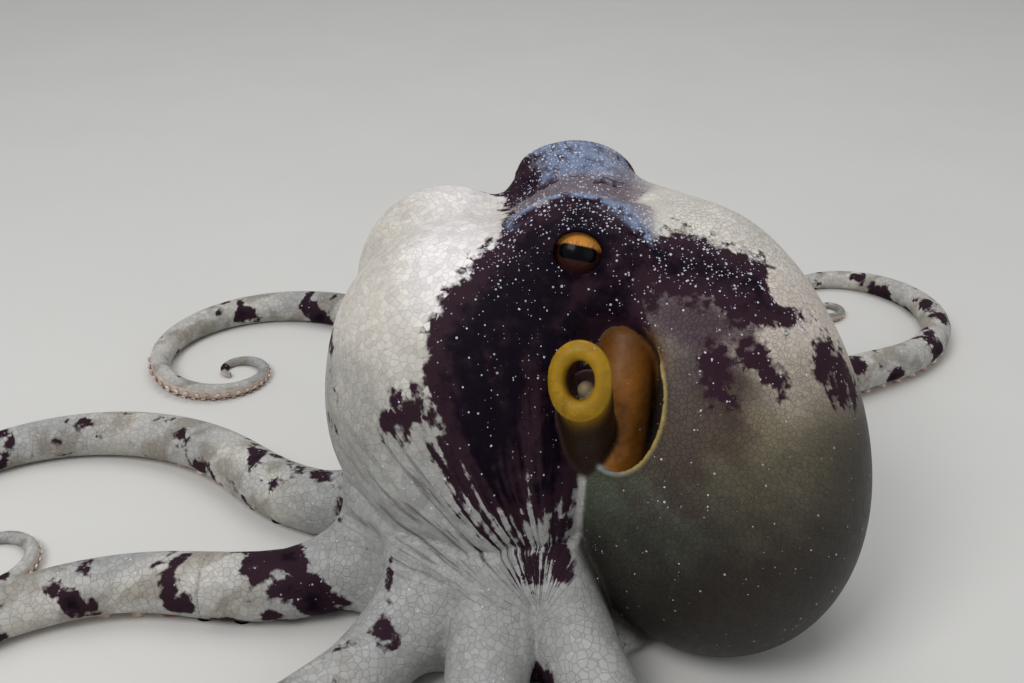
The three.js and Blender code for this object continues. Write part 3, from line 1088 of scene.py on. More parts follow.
@dataclass
class Painter:
    """Works out each vertex's colour and marks; pairs are where a share starts and is full."""

    shape: BodyShape
    palette: Palette = field(default_factory=Palette)
    marks: Markings = field(default_factory=Markings)
    fan: FoldFan = field(default_factory=FoldFan)
    fan_width: float = 34.0
    fan_stretch: float = 0.1
    crown_washes: tuple[Wash | Patch, ...] = (
        Wash("cream", 38.0, 62.0, coarse=6.0),
        # Painted highlight: a pale sheen patch high on the crown's left, where the light falls.
        Patch("sheen", (-14.0, 72.0), 15.0, 5.0, squash=0.8),
        Wash("web", 40.0, 18.0, fine=5.0, weight=0.8),
    )
    mantle_washes: tuple[Wash | Patch, ...] = (
        Wash("cream", 66.0, 74.0),
        Wash("tan", 64.0, 44.0, lean=0.25, coarse=4.0),
        Wash("olive", 46.0, 30.0, coarse=4.0, weight=0.8),
        Patch("moss", (22.0, 20.0), 22.0, 8.0, weight=0.8),
        # The umber washes darken the mantle towards its bottom and its right side: partly the skin's own
        # tone, partly painted shade.
        Wash("umber", 36.0, 10.0, fine=3.0, weight=0.9),
        Wash("umber", 56.0, 38.0, reach=(52.0, 74.0), weight=0.85),
        Patch("plum", (35.0, 50.0), 13.0, 4.0, fine=3.0, weight=0.5),
    )
    arm_reach: Span = (50.0, 70.0)
    arm_height: Span = (30.0, 22.0)
    edge_width: float = 16.0
    brow_middle: float = 1.2
    brow_width: float = 2.3
    most_flecks: float = 0.86
    lid_scale: float = 4.6

    def plain(self, colour: str, count: int) -> np.ndarray:
        """Return one palette colour for every place."""
        return np.tile(linear(*getattr(self.palette, colour)), (count, 1))

    def mix(self, base: np.ndarray, colour: str, weight: np.ndarray) -> np.ndarray:
        """Lay a palette colour over base colours by a weight from 0 to 1."""
        return self.over(base, linear(*getattr(self.palette, colour)), np.clip(weight, 0.0, 1.0))

    @staticmethod
    def over(base: np.ndarray, colours: np.ndarray, weight: np.ndarray) -> np.ndarray:
        """Lay colours over base colours by a weight from 0 to 1."""
        return base * (1.0 - weight[:, None]) + colours * weight[:, None]

    def paint(self, points: np.ndarray, normals: np.ndarray, along: np.ndarray,
              oral: np.ndarray) -> dict[str, np.ndarray]:
        """Colour the skin.

        Args:
            points: places in millimetres.
            normals: outward directions.
            along: share along the arm, 0 off the arms.
            oral: how far each place is on an arm's sucker side, 0 to 1.

        Returns:
            Arrays: tint (colour), marks (dark, fleck, net, on the mantle) and flow (the drawn web).
        """
        s = self.survey(points, normals, along, oral)
        base = self.marked(s, self.ground(s))
        dark = self.darkness(s)
        fleck = self.flecks(s, dark)
        angle, reach, drawn = self.fan.place(points)
        net = 0.5 + 0.2 * step(60.0, 35.0, s.b) - 0.3 * drawn
        net = np.where(s.on_mantle > 0.5, 0.8, net) * (1.0 - oral)
        base, dark, fleck, net = self.openings(points, base, dark, fleck, net)
        flow = np.stack([angle * self.fan_width, reach * self.fan_stretch, drawn], axis=-1)
        marks = np.stack([dark, np.clip(fleck, 0, 1), net, s.on_mantle], axis=-1)
        return {"tint": np.concatenate([base, np.ones((len(base), 1))], axis=1), "marks": marks, "flow": flow}

    def survey(self, points: np.ndarray, normals: np.ndarray, along: np.ndarray, oral: np.ndarray) -> Survey:
        """Find out which part of the body every place belongs to.

        Args:
            points: places in millimetres.
            normals: outward directions.
            along: share along the arm, 0 off the arms.
            oral: how far each place is on an arm's sucker side, 0 to 1.

        Returns:
            The survey.
        """
        shape = self.shape
        mantle = shape.mantle.distance(points)
        crown = blend(shape.crown.distance(points), shape.crown_far.distance(points), 6.0)
        domes = [eye.dome.distance(points) for eye in shape.eyes]
        head = np.minimum.reduce([shape.head.distance(points)] + domes)
        free = step(*self.arm_reach, np.hypot(points[:, 0], points[:, 1]))
        free = free * step(*self.arm_height, points[:, 2])
        free = np.where(along > 0.0, 1.0, free * step(0.0, 3.0, mantle))
        on_mantle = (1.0 - free) * step(2.0, -1.0, mantle - np.minimum(crown, head)) * step(4.0, 1.0, mantle)
        on_head = (1.0 - free) * step(3.0, -3.0, head - np.minimum(crown, mantle))
        arch, beyond = self.brow_zones(points)
        return Survey(
            points=points,
            flat=self.marks.side_plane(self.marks.folded(points)),
            up=np.clip(normals[:, 2], 0.0, 1.0),
            coarse=waves(points, 34.0, 11),
            fine=waves(points, 12.0, 12),
            mantle=mantle,
            crown=crown,
            free=free,
            on_mantle=on_mantle,
            on_head=on_head,
            oral=oral,
            arch=arch,
            crest=step(0.3, 0.8, on_head) * beyond,
        )

    def ground(self, s: Survey) -> np.ndarray:
        """Lay the pale ground colours of crown, web, head and mantle, with a painted highlight on the crown
        and painted shade on the mantle's bottom and right side.

        Args:
            s: the surveyed places.

        Returns:
            Colours.
        """
        base = self.plain("grey", len(s.points))
        for wash in self.crown_washes:
            base = self.mix(base, wash.colour, wash.cover(s))
        skin = self.plain("beige", len(s.points))
        for wash in self.mantle_washes:
            skin = self.mix(skin, wash.colour, wash.cover(s))
        base = self.over(base, skin, s.on_mantle)
        base = self.mix(base, "crown_top", s.on_head * step(80.0, 92.0, s.b))
        # Painted highlight along the crown's lower edge, where it lies over the mantle and catches the light.
        edge = step(1.6, 0.4, np.abs(s.mantle - s.crown)) * step(5.0, 2.0, s.mantle) * step(38.0, 28.0, s.b)
        return self.mix(base, "sheen", edge * 0.5 * (1.0 - s.free))

    def marked(self, s: Survey, base: np.ndarray) -> np.ndarray:
        """Lay the coloured marks over the ground.

        Args:
            s: the surveyed places.
            base: ground colours.

        Returns:
            Colours.
        """
        base = self.mix(base, "crown_top", s.crest * step(-8.0, 2.0, 24.0 - s.points[:, 0]))
        # Bluish haze on the brows' crests: partly dust, partly painted sky sheen.
        base = self.mix(base, "haze_and_sky_sheen", s.arch * 0.5)
        brown = self.marks.nearest("brown", s.flat)
        base = self.mix(base, "sepia", step(7.0, -5.0, brown + 3.0 * s.fine) * s.on_mantle * 0.85)
        base = self.mix(base, "plum", self.plum_patch(s) * 0.95)
        base = self.mix(base, "cream", (0.4 + 0.35 * s.coarse) * s.free)
        base = self.mix(base, "tan", step(0.05, 0.5, waves(s.points, 13.0, 31)) * 0.5 * s.free)
        return self.mix(base, "under", step(0.25, 0.8, s.oral) * 0.9)

    def plum_patch(self, s: Survey) -> np.ndarray:
        """Weigh how far each place is on the plum patch beside the eye."""
        return step(6.0, -6.0, self.marks.nearest("plum", s.flat) + 4.0 * s.fine)

    def darkness(self, s: Survey) -> np.ndarray:
        """Work out the dark marks.

        Args:
            s: the surveyed places.

        Returns:
            Values from 0 to 1 whose ragged half-way line is a mark's edge.
        """
        x, y, z = s.points.T
        dark = 0.5 - self.marks.nearest("dark", s.flat) / self.edge_width
        roving = 0.42 + 0.46 * waves(s.points, 30.0, 21) + 0.18 * s.fine
        hidden = step(14.0, 26.0, y - self.marks.middle(s.points)) * 0.6
        hidden = np.maximum(hidden, step(30.0, 16.0, s.b) * step(-16.0, -30.0, s.a))
        hidden = np.maximum(hidden, step(-34.0, -42.0, x) * 0.9)
        dark = dark * (1 - hidden) + np.maximum(dark, roving) * hidden
        over_head = 0.8 * step(0.3, 0.7, s.on_head) * step(-9.0, -3.0, s.a)
        dark = np.where(s.on_head > 0.4, np.maximum(dark, over_head), dark)
        dark = dark * (1 - s.crest) + (0.36 + 0.12 * s.fine) * s.crest
        dark = dark - 0.16 * s.arch * step(-0.3, 0.6, s.fine)
        dark = dark - 0.5 * step(2.0, -2.0, self.marks.nearest("pale", s.flat))
        dark = dark + 0.1 * self.plum_patch(s)
        near_floor = step(22.0, 10.0, z) * (1.0 - s.on_mantle)
        dark = dark * (1 - near_floor) + np.maximum(dark * 0.9, roving) * near_floor
        bars = 0.3 + 0.34 * waves(s.points, 17.0, 23) + 0.12 * waves(s.points, 7.0, 24)
        dark = dark * (1 - s.free) + bars * s.free
        dark = dark - 0.6 * s.on_mantle * step(46.0, 42.0, s.b) * step(24.0, 18.0, s.a)
        return np.clip(dark - 0.7 * s.oral, 0.0, 1.0)

    def flecks(self, s: Survey, dark: np.ndarray) -> np.ndarray:
        """Work out how densely the pale flecks lie, most of all along the brows.

        Args:
            s: the surveyed places.
            dark: the dark marks.

        Returns:
            Density from 0 to 1.
        """
        fleck = 0.08 + 0.5 * s.up * step(50.0, 84.0, s.b) + 0.3 * s.crest
        fleck += 0.4 * step(0.4, 0.6, dark) * (0.3 + 0.7 * s.up) * step(25.0, 60.0, s.b)
        fleck += 0.25 * s.on_mantle * step(58.0, 74.0, s.b)
        fleck = np.minimum(fleck, self.most_flecks) + (1.0 - self.most_flecks) * s.arch
        return (fleck * (1 - s.free) + 0.22 * s.up * s.free) * (1.0 - s.oral)

    def brow_zones(self, points: np.ndarray) -> tuple[np.ndarray, np.ndarray]:
        """Weigh how far places are on a brow's crest, and how far they are above both brows.

        Args:
            points: places in millimetres.

        Returns:
            Two arrays of weights from 0 to 1.
        """
        arch = np.zeros(len(points))
        beyond = np.ones(len(points))
        for eye in self.shape.eyes:
            q = eye.local(points)
            wide, tall, _ = eye.brow
            off = oval_offset(q, wide, tall)
            front = step(-16.0, -8.0, q[:, 2])
            across = (off - self.brow_middle) / self.brow_width
            arch = np.maximum(arch, np.exp(-(across**2)) * step(-2.0, 6.0, q[:, 1]) * front)
            above = step(0.5, 3.5, off) * step(1.0, 6.0, q[:, 1])
            beyond *= np.where(q[:, 2] > -14.0, above, 1.0)
        return arch, beyond

    def openings(self, points: np.ndarray, base: np.ndarray, dark: np.ndarray, fleck: np.ndarray,
                 net: np.ndarray) -> tuple[np.ndarray, np.ndarray, np.ndarray, np.ndarray]:
        """Colour the mantle opening, the collar, the funnel and the lids.

        Args:
            points: places in millimetres.
            base: base colours so far.
            dark: dark mark so far.
            fleck: fleck density so far.
            net: strength of the fine net so far.

        Returns:
            The same four, with the openings laid over.
        """
        shape = self.shape
        hole = shape.opening.distance(points)
        height = self.marks.side_plane(points)[:, 1]
        # Painted shade inside the mantle opening: its inner wall is laid dark grey.
        cavity_shade = step(0.3, -1.0, hole)
        # Painted shade under the opening's upper edge: dark rust, then shadow.
        roof_shade = step(4.0, 0.0, hole) * step(49.0, 55.0, height)
        base = self.mix(base, "rust", roof_shade * 0.5)
        base = self.mix(base, "shadow", roof_shade * 0.6)
        rim = step(1.0, 0.4, np.abs(hole - 0.2)) * step(2.5, 0.5, np.abs(shape.outside(points)))
        rim = rim * step(58.0, 50.0, height)
        base = self.mix(base, "cavity_shade", cavity_shade)
        low = step(54.0, 46.0, points[:, 2] + 0.3 * (points[:, 0] - 20.0))
        base = self.over(base, self.mix(self.plain("brass", len(base)), "pearl", low), 0.85 * rim)
        collar = rod(points, *shape.collar_line(), shape.collar_radius, shape.collar_radius)
        flesh = step(0.8, 0.1, collar) * step(2.0, 0.0, hole)
        base = self.mix(base, "rust", flesh)
        grain = step(-0.1, 0.7, waves(points, 3.4, 41))
        # The collar is mottled by its grain, partly real, and darkens towards its top as painted shade under
        # the opening's upper edge.
        shade = np.maximum(0.3 * grain, 0.55 * step(60.0, 70.0, points[:, 2]))
        base = self.mix(base, "shadow", flesh * shade)
        tube = shape.funnel_tube(points)
        on_tube = step(0.9, 0.2, tube)
        # Painted shade on the body round the funnel, where the dark marks meet it.
        base = self.mix(base, "shadow", step(4.0, 0.9, tube) * step(0.4, 0.6, dark))
        base = self.over(base, self.tube_tint(points), on_tube)
        soft = np.maximum.reduce([on_tube, flesh, cavity_shade, rim])
        dark = dark * (1 - soft)
        for eye in shape.eyes:
            q = eye.local(points)
            off = (np.hypot(q[:, 0] / eye.opening[0], q[:, 1] / eye.opening[1]) - 1.0) * self.lid_scale
            lid = step(1.2, 0.3, off) * (q[:, 2] > 0)
            base = self.mix(base, "lid", lid)
            dark = np.maximum(dark, lid)
            soft = np.maximum(soft, lid * 0.9)
        return base, dark, fleck * (1 - 0.85 * soft), net * (1 - 0.9 * soft)

    def tube_tint(self, points: np.ndarray) -> np.ndarray:
        """Colour the funnel from its shaded foot to its ochre lip.

        Args:
            points: places in millimetres.

        Returns:
            Colours.
        """
        funnel = self.shape.funnel
        front, out = funnel.mouth(points)
        tint = self.mix(self.plain("ochre_deep", len(points)), "ochre", step(-8.5, -2.0, front))
        inner = funnel.mean() - funnel.wall
        deep = step(-0.6, -4.5, front) * step(inner + 0.9, inner, out)
        tint = self.mix(tint, "bore", deep)
        tint = self.mix(tint, "shadow", step(-4.0, -10.0, front) * (1.0 - deep) * 0.9)
        return self.mix(tint, "tan", step(0.8, 0.1, funnel.tongue(points)) * 0.85)


# ------------------------------------------------------------------------------------------------
# Finishes
# ------------------------------------------------------------------------------------------------


class Graph:
    """A material's node graph, with short calls for what the finishes use."""

    def __init__(self, name: str) -> None:
        """Start an empty material with an output and a surface.

        Args:
            name: the material's name.
        """
        self.material = bpy.data.materials.new(name)
        self.material.use_nodes = True
        self.tree = self.material.node_tree
        self.tree.nodes.clear()
        self.surface = self.tree.nodes.new("ShaderNodeBsdfPrincipled")
        output = self.tree.nodes.new("ShaderNodeOutputMaterial")
        self.tree.links.new(self.surface.outputs[0], output.inputs["Surface"])

    def put(self, socket: bpy.types.NodeSocket, value: Value) -> None:
        """Set a socket, or link another socket to it.

        Args:
            socket: the input.
            value: a number, a colour, or another socket.
        """
        if isinstance(value, bpy.types.NodeSocket):
            self.tree.links.new(value, socket)
        elif value is not None:
            socket.default_value = value

    def set(self, name: str, value: Value) -> None:
        """Set or link one of the surface's inputs."""
        self.put(self.surface.inputs[name], value)

    def math(self, kind: str, a: Value, b: Value = None, c: Value = None) -> bpy.types.NodeSocket:
        """Add a sum, product or other operation.

        Args:
            kind: which operation.
            a: first number.
            b: second number.
            c: third number.

        Returns:
            The result.
        """
        node = self.tree.nodes.new("ShaderNodeMath")
        node.operation = kind
        for socket, value in zip(node.inputs, (a, b, c)):
            self.put(socket, value)
        return node.outputs[0]

    def ease(self, low: float, high: float, value: Value) -> bpy.types.NodeSocket:
        """Ease from 0 at low to 1 at high; low may be the larger.

        Args:
            low: where the result is 0.
            high: where it is 1.
            value: the number eased.

        Returns:
            The result.
        """
        node = self.tree.nodes.new("ShaderNodeMapRange")
        node.interpolation_type = "SMOOTHSTEP"
        falling = low > high
        self.put(node.inputs["Value"], value)
        self.put(node.inputs["From Min"], min(low, high))
        self.put(node.inputs["From Max"], max(low, high))
        self.put(node.inputs["To Min"], 1.0 if falling else 0.0)
        self.put(node.inputs["To Max"], 0.0 if falling else 1.0)
        return node.outputs["Result"]

    def mix(self, share: Value, a: Value, b: Value, kind: str = "MIX") -> bpy.types.NodeSocket:
        """Mix two colours.

        Args:
            share: how much of the second.
            a: first colour.
            b: second colour.
            kind: how they mix.

        Returns:
            The mixed colour.
        """
        node = self.tree.nodes.new("ShaderNodeMix")
        node.data_type = "RGBA"
        node.blend_type = kind
        self.put(node.inputs[0], share)
        self.put(node.inputs[6], a)
        self.put(node.inputs[7], b)
        return node.outputs[2]

    def attribute(self, name: str) -> bpy.types.Node:
        """Read one of the mesh's own values.

        Args:
            name: the value's name.

        Returns:
            The node.
        """
        node = self.tree.nodes.new("ShaderNodeAttribute")
        node.attribute_name = name
        return node

    def places(self) -> bpy.types.NodeSocket:
        """Return places on the object in millimetres."""
        return self.scaled(self.tree.nodes.new("ShaderNodeTexCoord").outputs["Object"], 1.0 / MM)

    def noise(self, places: Value, size: float, detail: float = 3.0) -> bpy.types.NodeSocket:
        """Return cloudy noise from 0 to 1 with features of a size in mm.

        Args:
            places: where.
            size: size of a feature.
            detail: how fine it gets.

        Returns:
            The noise.
        """
        node = self.tree.nodes.new("ShaderNodeTexNoise")
        self.put(node.inputs["Vector"], places)
        self.put(node.inputs["Scale"], 1.0 / size)
        self.put(node.inputs["Detail"], detail)
        return node.outputs[0]

    def cells(self, places: Value, size: float, feature: str = "F1") -> bpy.types.Node:
        """Return a pattern of cells of a size in mm.

        Args:
            places: where.
            size: size of a cell.
            feature: which measure of the cells.

        Returns:
            The node.
        """
        node = self.tree.nodes.new("ShaderNodeTexVoronoi")
        node.feature = feature
        self.put(node.inputs["Vector"], places)
        self.put(node.inputs["Scale"], 1.0 / size)
        return node

    def combine(self, first: Value, second: Value) -> bpy.types.NodeSocket:
        """Make a place from two numbers.

        Args:
            first: first number.
            second: second number.

        Returns:
            The place.
        """
        node = self.tree.nodes.new("ShaderNodeCombineXYZ")
        self.put(node.inputs[0], first)
        self.put(node.inputs[1], second)
        return node.outputs[0]

    def scaled(self, value: Value, factor: Value) -> bpy.types.NodeSocket:
        """Scale a place or colour by a number.

        Args:
            value: a place or colour.
            factor: the number.

        Returns:
            The scaled value.
        """
        node = self.tree.nodes.new("ShaderNodeVectorMath")
        node.operation = "SCALE"
        self.put(node.inputs[0], value)
        self.put(node.inputs["Scale"], factor)
        return node.outputs[0]

    def between(self, share: Value, a: Value, b: Value) -> bpy.types.NodeSocket:
        """Mix two numbers.

        Args:
            share: how much of the second.
            a: first number.
            b: second number.

        Returns:
            The mixed number.
        """
        rest = self.math("SUBTRACT", 1.0, share)
        return self.math("ADD", self.math("MULTIPLY", a, rest), self.math("MULTIPLY", b, share))

    def spread(self, value: Value, width: float, onto: Value) -> bpy.types.NodeSocket:
        """Add a noise to a number, as far to each side of it as half the width."""
        return self.math("MULTIPLY_ADD", self.math("SUBTRACT", value, 0.5), width, onto)

    def split(self, value: Value) -> list[bpy.types.NodeSocket]:
        """Split a vector or colour into its three numbers.

        Args:
            value: a vector or colour.

        Returns:
            Its three numbers.
        """
        node = self.tree.nodes.new("ShaderNodeSeparateXYZ")
        self.put(node.inputs[0], value)
        return list(node.outputs)

    def bump(self, height: Value, depth: float) -> None:
        """Give the surface relief whose height is in units of depth, in mm.

        Args:
            height: the relief.
            depth: depth of a height of 1.
        """
        node = self.tree.nodes.new("ShaderNodeBump")
        self.put(node.inputs["Distance"], depth * MM)
        self.put(node.inputs["Strength"], 1.0)
        self.put(node.inputs["Height"], height)
        self.set("Normal", node.outputs[0])


@dataclass(frozen=True)
class Finish:
    """A finish whose colours are fields from 0 to 255."""

    def colour(self, name: str, light: float = 1.0) -> tuple[float, float, float, float]:
        """Return one of the finish's colours for a socket."""
        return (*(linear(*getattr(self, name)) * light), 1.0)


@dataclass(frozen=True)
class SkinFinish(Finish):
    """Wet mottled skin: a fine dark net over the base colour, ragged dark marks and white flecks."""

    cell: float = 1.6
    line: float = 0.07
    small_cell: float = 1.15
    fleck_cell: float = 0.62
    streak: float = 1.5
    thin: float = 0.015
    cloud: float = 9.0
    grain: float = 2.2
    patch: float = 4.0
    ragged_by_cloud: float = 0.62
    ragged_by_streak: float = 1.1
    ragged_by_grain: float = 0.42
    ragged_by_cell: float = 0.10
    edge: Span = (0.44, 0.56)
    depth: Span = (0.66, 1.0)
    relief: float = 0.22
    dark: Colour = (46, 29, 38)
    deep: Colour = (16, 8, 20)
    net: Colour = (92, 82, 80)
    # painted shade in the web's creases
    crease: Colour = (104, 92, 96)
    fleck: Colour = (206, 208, 222)
    # bluish dust on the brows: partly dust, partly painted sky sheen
    dust_and_sky_sheen: Colour = (140, 156, 186)

    def material(self) -> bpy.types.Material:
        """Build the material.

        Returns:
            The material.
        """
        g = Graph("octopus_skin")
        tint = g.attribute("tint").outputs["Color"]
        marks = g.attribute("marks")
        dark, fleck, net = g.split(marks.outputs["Vector"])
        on_mantle = marks.outputs["Alpha"]
        across, reach, drawn = g.split(g.attribute("flow").outputs["Vector"])
        places = g.places()

        streak = g.noise(g.combine(across, reach), self.streak, 4.0)
        wide = g.cells(places, self.cell, "DISTANCE_TO_EDGE").outputs["Distance"]
        close = g.cells(places, self.small_cell, "DISTANCE_TO_EDGE").outputs["Distance"]
        wide_tone = g.split(g.cells(places, self.cell).outputs["Color"])[0]
        close_tone = g.split(g.cells(places, self.small_cell).outputs["Color"])[0]
        wide_line = g.ease(self.line, self.thin, wide)
        close_line = g.ease(self.line, self.thin, close)
        line = g.between(on_mantle, wide_line, close_line)
        tone = g.between(on_mantle, wide_tone, close_tone)
        cloud = g.noise(places, self.cloud)
        fine = g.noise(places, self.grain)

        colour = g.mix(g.math("MULTIPLY", tone, 0.22), tint, self.colour("net"), "MULTIPLY")
        shade = g.math("MULTIPLY_ADD", cloud, 0.5, 0.75)
        colour = g.scaled(colour, shade)
        seen = g.math("MULTIPLY", g.math("MULTIPLY", line, net), g.math("MULTIPLY_ADD", cloud, 0.9, -0.05))
        colour = g.mix(seen, colour, g.mix(0.75, colour, self.colour("net"), "MULTIPLY"))

        # Painted shade: darker along the creases of the drawn web, which the bump also cuts in.
        crease = g.math("MULTIPLY", g.ease(0.5, 0.66, streak), drawn)
        colour = g.mix(g.math("MULTIPLY", crease, 0.62), colour, self.colour("crease"), "MULTIPLY")

        pulled = g.math("MULTIPLY", g.math("SUBTRACT", streak, 0.5), drawn)
        ragged = g.spread(cloud, self.ragged_by_cloud, dark)
        ragged = g.math("MULTIPLY_ADD", pulled, self.ragged_by_streak, ragged)
        ragged = g.spread(fine, self.ragged_by_grain, ragged)
        ragged = g.spread(tone, self.ragged_by_cell, ragged)
        cover = g.ease(*self.edge, ragged)
        deep = g.ease(*self.depth, ragged)
        ink = g.mix(deep, self.colour("dark"), self.colour("deep"))
        colour = g.mix(g.math("MULTIPLY", cover, 0.995), colour, ink)

        grit = g.cells(places, self.fleck_cell)
        lot = g.split(grit.outputs["Color"])
        patch = g.ease(0.4, 0.6, g.noise(places, self.patch))
        wanted = g.math("MULTIPLY", g.math("MULTIPLY_ADD", patch, 0.8, 0.15), fleck)
        wanted = g.math("MULTIPLY_ADD", g.ease(0.75, 1.0, fleck), 0.5, wanted)
        chosen = g.math("GREATER_THAN", wanted, lot[0])
        spread = g.math("MULTIPLY_ADD", g.math("POWER", lot[1], 3.0), 0.32, 0.11)
        size = g.math("MULTIPLY_ADD", g.ease(0.6, 1.0, fleck), 0.1, spread)
        ragged_reach = g.spread(fine, 0.3, grit.outputs["Distance"])
        dot = g.math("MULTIPLY", chosen, g.ease(0.04, -0.04, g.math("SUBTRACT", ragged_reach, size)))
        shine = g.math("MULTIPLY_ADD", lot[2], 0.4, 0.5)
        colour = g.mix(g.math("MULTIPLY", dot, shine), colour, self.colour("fleck"))
        # Bluish dust on the brows' crests: partly dust, partly painted sky sheen.
        dust_and_sky_sheen = g.math("MULTIPLY", g.ease(0.88, 1.0, fleck), g.ease(0.3, 0.6, fine))
        colour = g.mix(g.math("MULTIPLY", dust_and_sky_sheen, 0.6), colour, self.colour("dust_and_sky_sheen"))
        g.set("Base Color", colour)

        bare = g.math("SUBTRACT", 1.0, g.math("MULTIPLY", cover, 0.8))
        grooves = g.math("MULTIPLY", g.math("MULTIPLY", line, net), bare)
        relief = g.math("MULTIPLY_ADD", grooves, -0.4, g.math("MULTIPLY", fine, 0.5))
        relief = g.math("MULTIPLY_ADD", cloud, 0.6, relief)
        relief = g.math("MULTIPLY_ADD", crease, -0.9, relief)
        g.bump(relief, self.relief)
        g.set("Roughness", g.math("MULTIPLY_ADD", fine, 0.22, 0.4))
        g.set("Coat Weight", g.math("MULTIPLY_ADD", cover, -0.05, 0.05))
        g.set("Coat Roughness", 0.3)
        g.set("Specular IOR Level", g.math("MULTIPLY_ADD", cover, -0.2, 0.22))
        return g.material


@dataclass(frozen=True)
class SuckerFinish(Finish):
    """Pale smooth suckers, mottled with rosy, darker patches."""

    pale: Colour = (222, 206, 194)
    rosy: Colour = (168, 128, 118)

    def material(self) -> bpy.types.Material:
        """Build the material.

        Returns:
            The material.
        """
        g = Graph("sucker_flesh")
        places = g.places()
        mottle = g.noise(places, 2.5)
        grain = g.noise(places, 0.5, 2.0)
        share = g.ease(0.35, 0.7, mottle)
        g.set("Base Color", g.mix(share, self.colour("pale"), self.colour("rosy")))
        g.bump(grain, 0.06)
        g.set("Roughness", g.math("MULTIPLY_ADD", grain, 0.2, 0.32))
        g.set("Coat Weight", 0.2)
        return g.material


@dataclass(frozen=True)
class EyeFinish(Finish):
    """Gold over brown iris round a black bar of a pupil, under a wet gloss; the brown lower part is painted
    shade.
    """

    gold: Colour = (206, 138, 64)
    # brown: the lower iris's painted shade, the fine lines and the pupil's rim
    brown: Colour = (52, 27, 24)
    ink: Colour = (5, 5, 8)
    half_long: float = 2.75
    half_tall: float = 0.4
    round: float = 1.1
    raised: float = 0.05

    def material(self) -> bpy.types.Material:
        """Build the material.

        Returns:
            The material.
        """
        g = Graph("eye_gloss")
        across, above, _ = g.split(g.attribute("place").outputs["Vector"])
        lifted = g.math("SUBTRACT", above, self.raised)
        dx = g.math("MAXIMUM", g.math("SUBTRACT", g.math("ABSOLUTE", across), self.half_long), 0.0)
        dy = g.math("MAXIMUM", g.math("SUBTRACT", g.math("ABSOLUTE", lifted), self.half_tall), 0.0)
        reach = g.math("SQRT", g.math("ADD", g.math("MULTIPLY", dx, dx), g.math("MULTIPLY", dy, dy)))
        edge = g.math("SUBTRACT", reach, self.round)
        pupil = g.ease(0.08, -0.08, edge)
        angle = g.math("ARCTAN2", across, g.math("ADD", lifted, 3.0))
        rays = g.noise(g.combine(g.math("MULTIPLY", angle, 16.0), g.math("MULTIPLY", edge, 0.5)), 1.0, 4.0)
        lines = g.math("MULTIPLY", g.ease(0.5, 0.66, rays), g.ease(1.6, 0.1, edge))
        # The iris turns from brown below to gold above: the brown lower part is painted shade.
        upper = g.ease(0.7, 1.9, above)
        iris = g.mix(upper, self.colour("brown"), self.colour("gold"))
        iris = g.mix(g.math("MULTIPLY", lines, 0.8), iris, self.colour("brown"))
        rim = g.ease(0.35, 0.0, edge)
        iris = g.mix(g.math("MULTIPLY", rim, 0.55), iris, self.colour("brown"))
        g.set("Base Color", g.mix(pupil, iris, self.colour("ink")))
        g.bump(g.math("MULTIPLY", rays, g.math("SUBTRACT", 1.0, pupil)), 0.05)
        g.set("Roughness", g.math("MULTIPLY_ADD", rays, 0.15, 0.2))
        g.set("Coat Weight", 0.06)
        g.set("Coat Roughness", 0.08)
        g.set("Specular IOR Level", 0.06)
        return g.material


@dataclass(frozen=True)
class FloorFinish(Finish):
    """Plain pale matt floor."""

    pale: Colour = (206, 204, 200)
    dim: float = 0.96
    bright: float = 1.03

    def material(self) -> bpy.types.Material:
        """Build the material.

        Returns:
            The material.
        """
        g = Graph("pale_floor")
        cloud = g.noise(g.places(), 60.0)
        g.set("Base Color", g.mix(cloud, self.colour("pale", self.dim), self.colour("pale", self.bright)))
        g.set("Roughness", 0.85)
        return g.material


# ------------------------------------------------------------------------------------------------
# Pieces
# ------------------------------------------------------------------------------------------------


def make_object(name: str, mesh: bpy.types.Mesh, material: bpy.types.Material) -> bpy.types.Object:
    """Put a mesh in the scene, smooth, with its material.

    Args:
        name: the piece's name.
        mesh: its mesh.
        material: what it is dressed in.

    Returns:
        The object.
    """
    piece = bpy.data.objects.new(name, mesh)
    bpy.context.scene.collection.objects.link(piece)
    mesh.materials.append(material)
    mesh.polygons.foreach_set("use_smooth", np.ones(len(mesh.polygons), bool))
    return piece


def fill_mesh(name: str, vertices: np.ndarray, faces: np.ndarray) -> bpy.types.Mesh:
    """Make a mesh from vertices in millimetres and faces of one size.

    Args:
        name: the mesh's name.
        vertices: one row each.
        faces: rows of vertex numbers.

    Returns:
        The mesh.
    """
    mesh = bpy.data.meshes.new(name)
    sides = faces.shape[1]
    mesh.vertices.add(len(vertices))
    mesh.vertices.foreach_set("co", (vertices * MM).ravel())
    mesh.loops.add(faces.size)
    mesh.loops.foreach_set("vertex_index", faces.ravel().astype(np.int32))
    mesh.polygons.add(len(faces))
    mesh.polygons.foreach_set("loop_start", np.arange(0, faces.size, sides, dtype=np.int32))
    mesh.polygons.foreach_set("loop_total", np.full(len(faces), sides, dtype=np.int32))
    mesh.update(calc_edges=True)
    return mesh


def weld(mesh: bpy.types.Mesh) -> None:
    """Join corners that lie on the same spot, so that no face is a sliver.

    Args:
        mesh: the mesh to clean.
    """
    form = bmesh.new()
    form.from_mesh(mesh)
    bmesh.ops.remove_doubles(form, verts=form.verts, dist=WELD)
    form.to_mesh(mesh)
    form.free()
    mesh.polygons.foreach_set("use_smooth", np.ones(len(mesh.polygons), bool))


def give(mesh: bpy.types.Mesh, name: str, kind: str, values: np.ndarray) -> None:
    """Store one value for each vertex.

    Args:
        mesh: the mesh.
        name: the value's name.
        kind: its data type.
        values: one row for each vertex.
    """
    layer = mesh.attributes.new(name, kind, "POINT")
    layer.data.foreach_set("vector" if kind == "FLOAT_VECTOR" else "color", values.astype(np.float32).ravel())


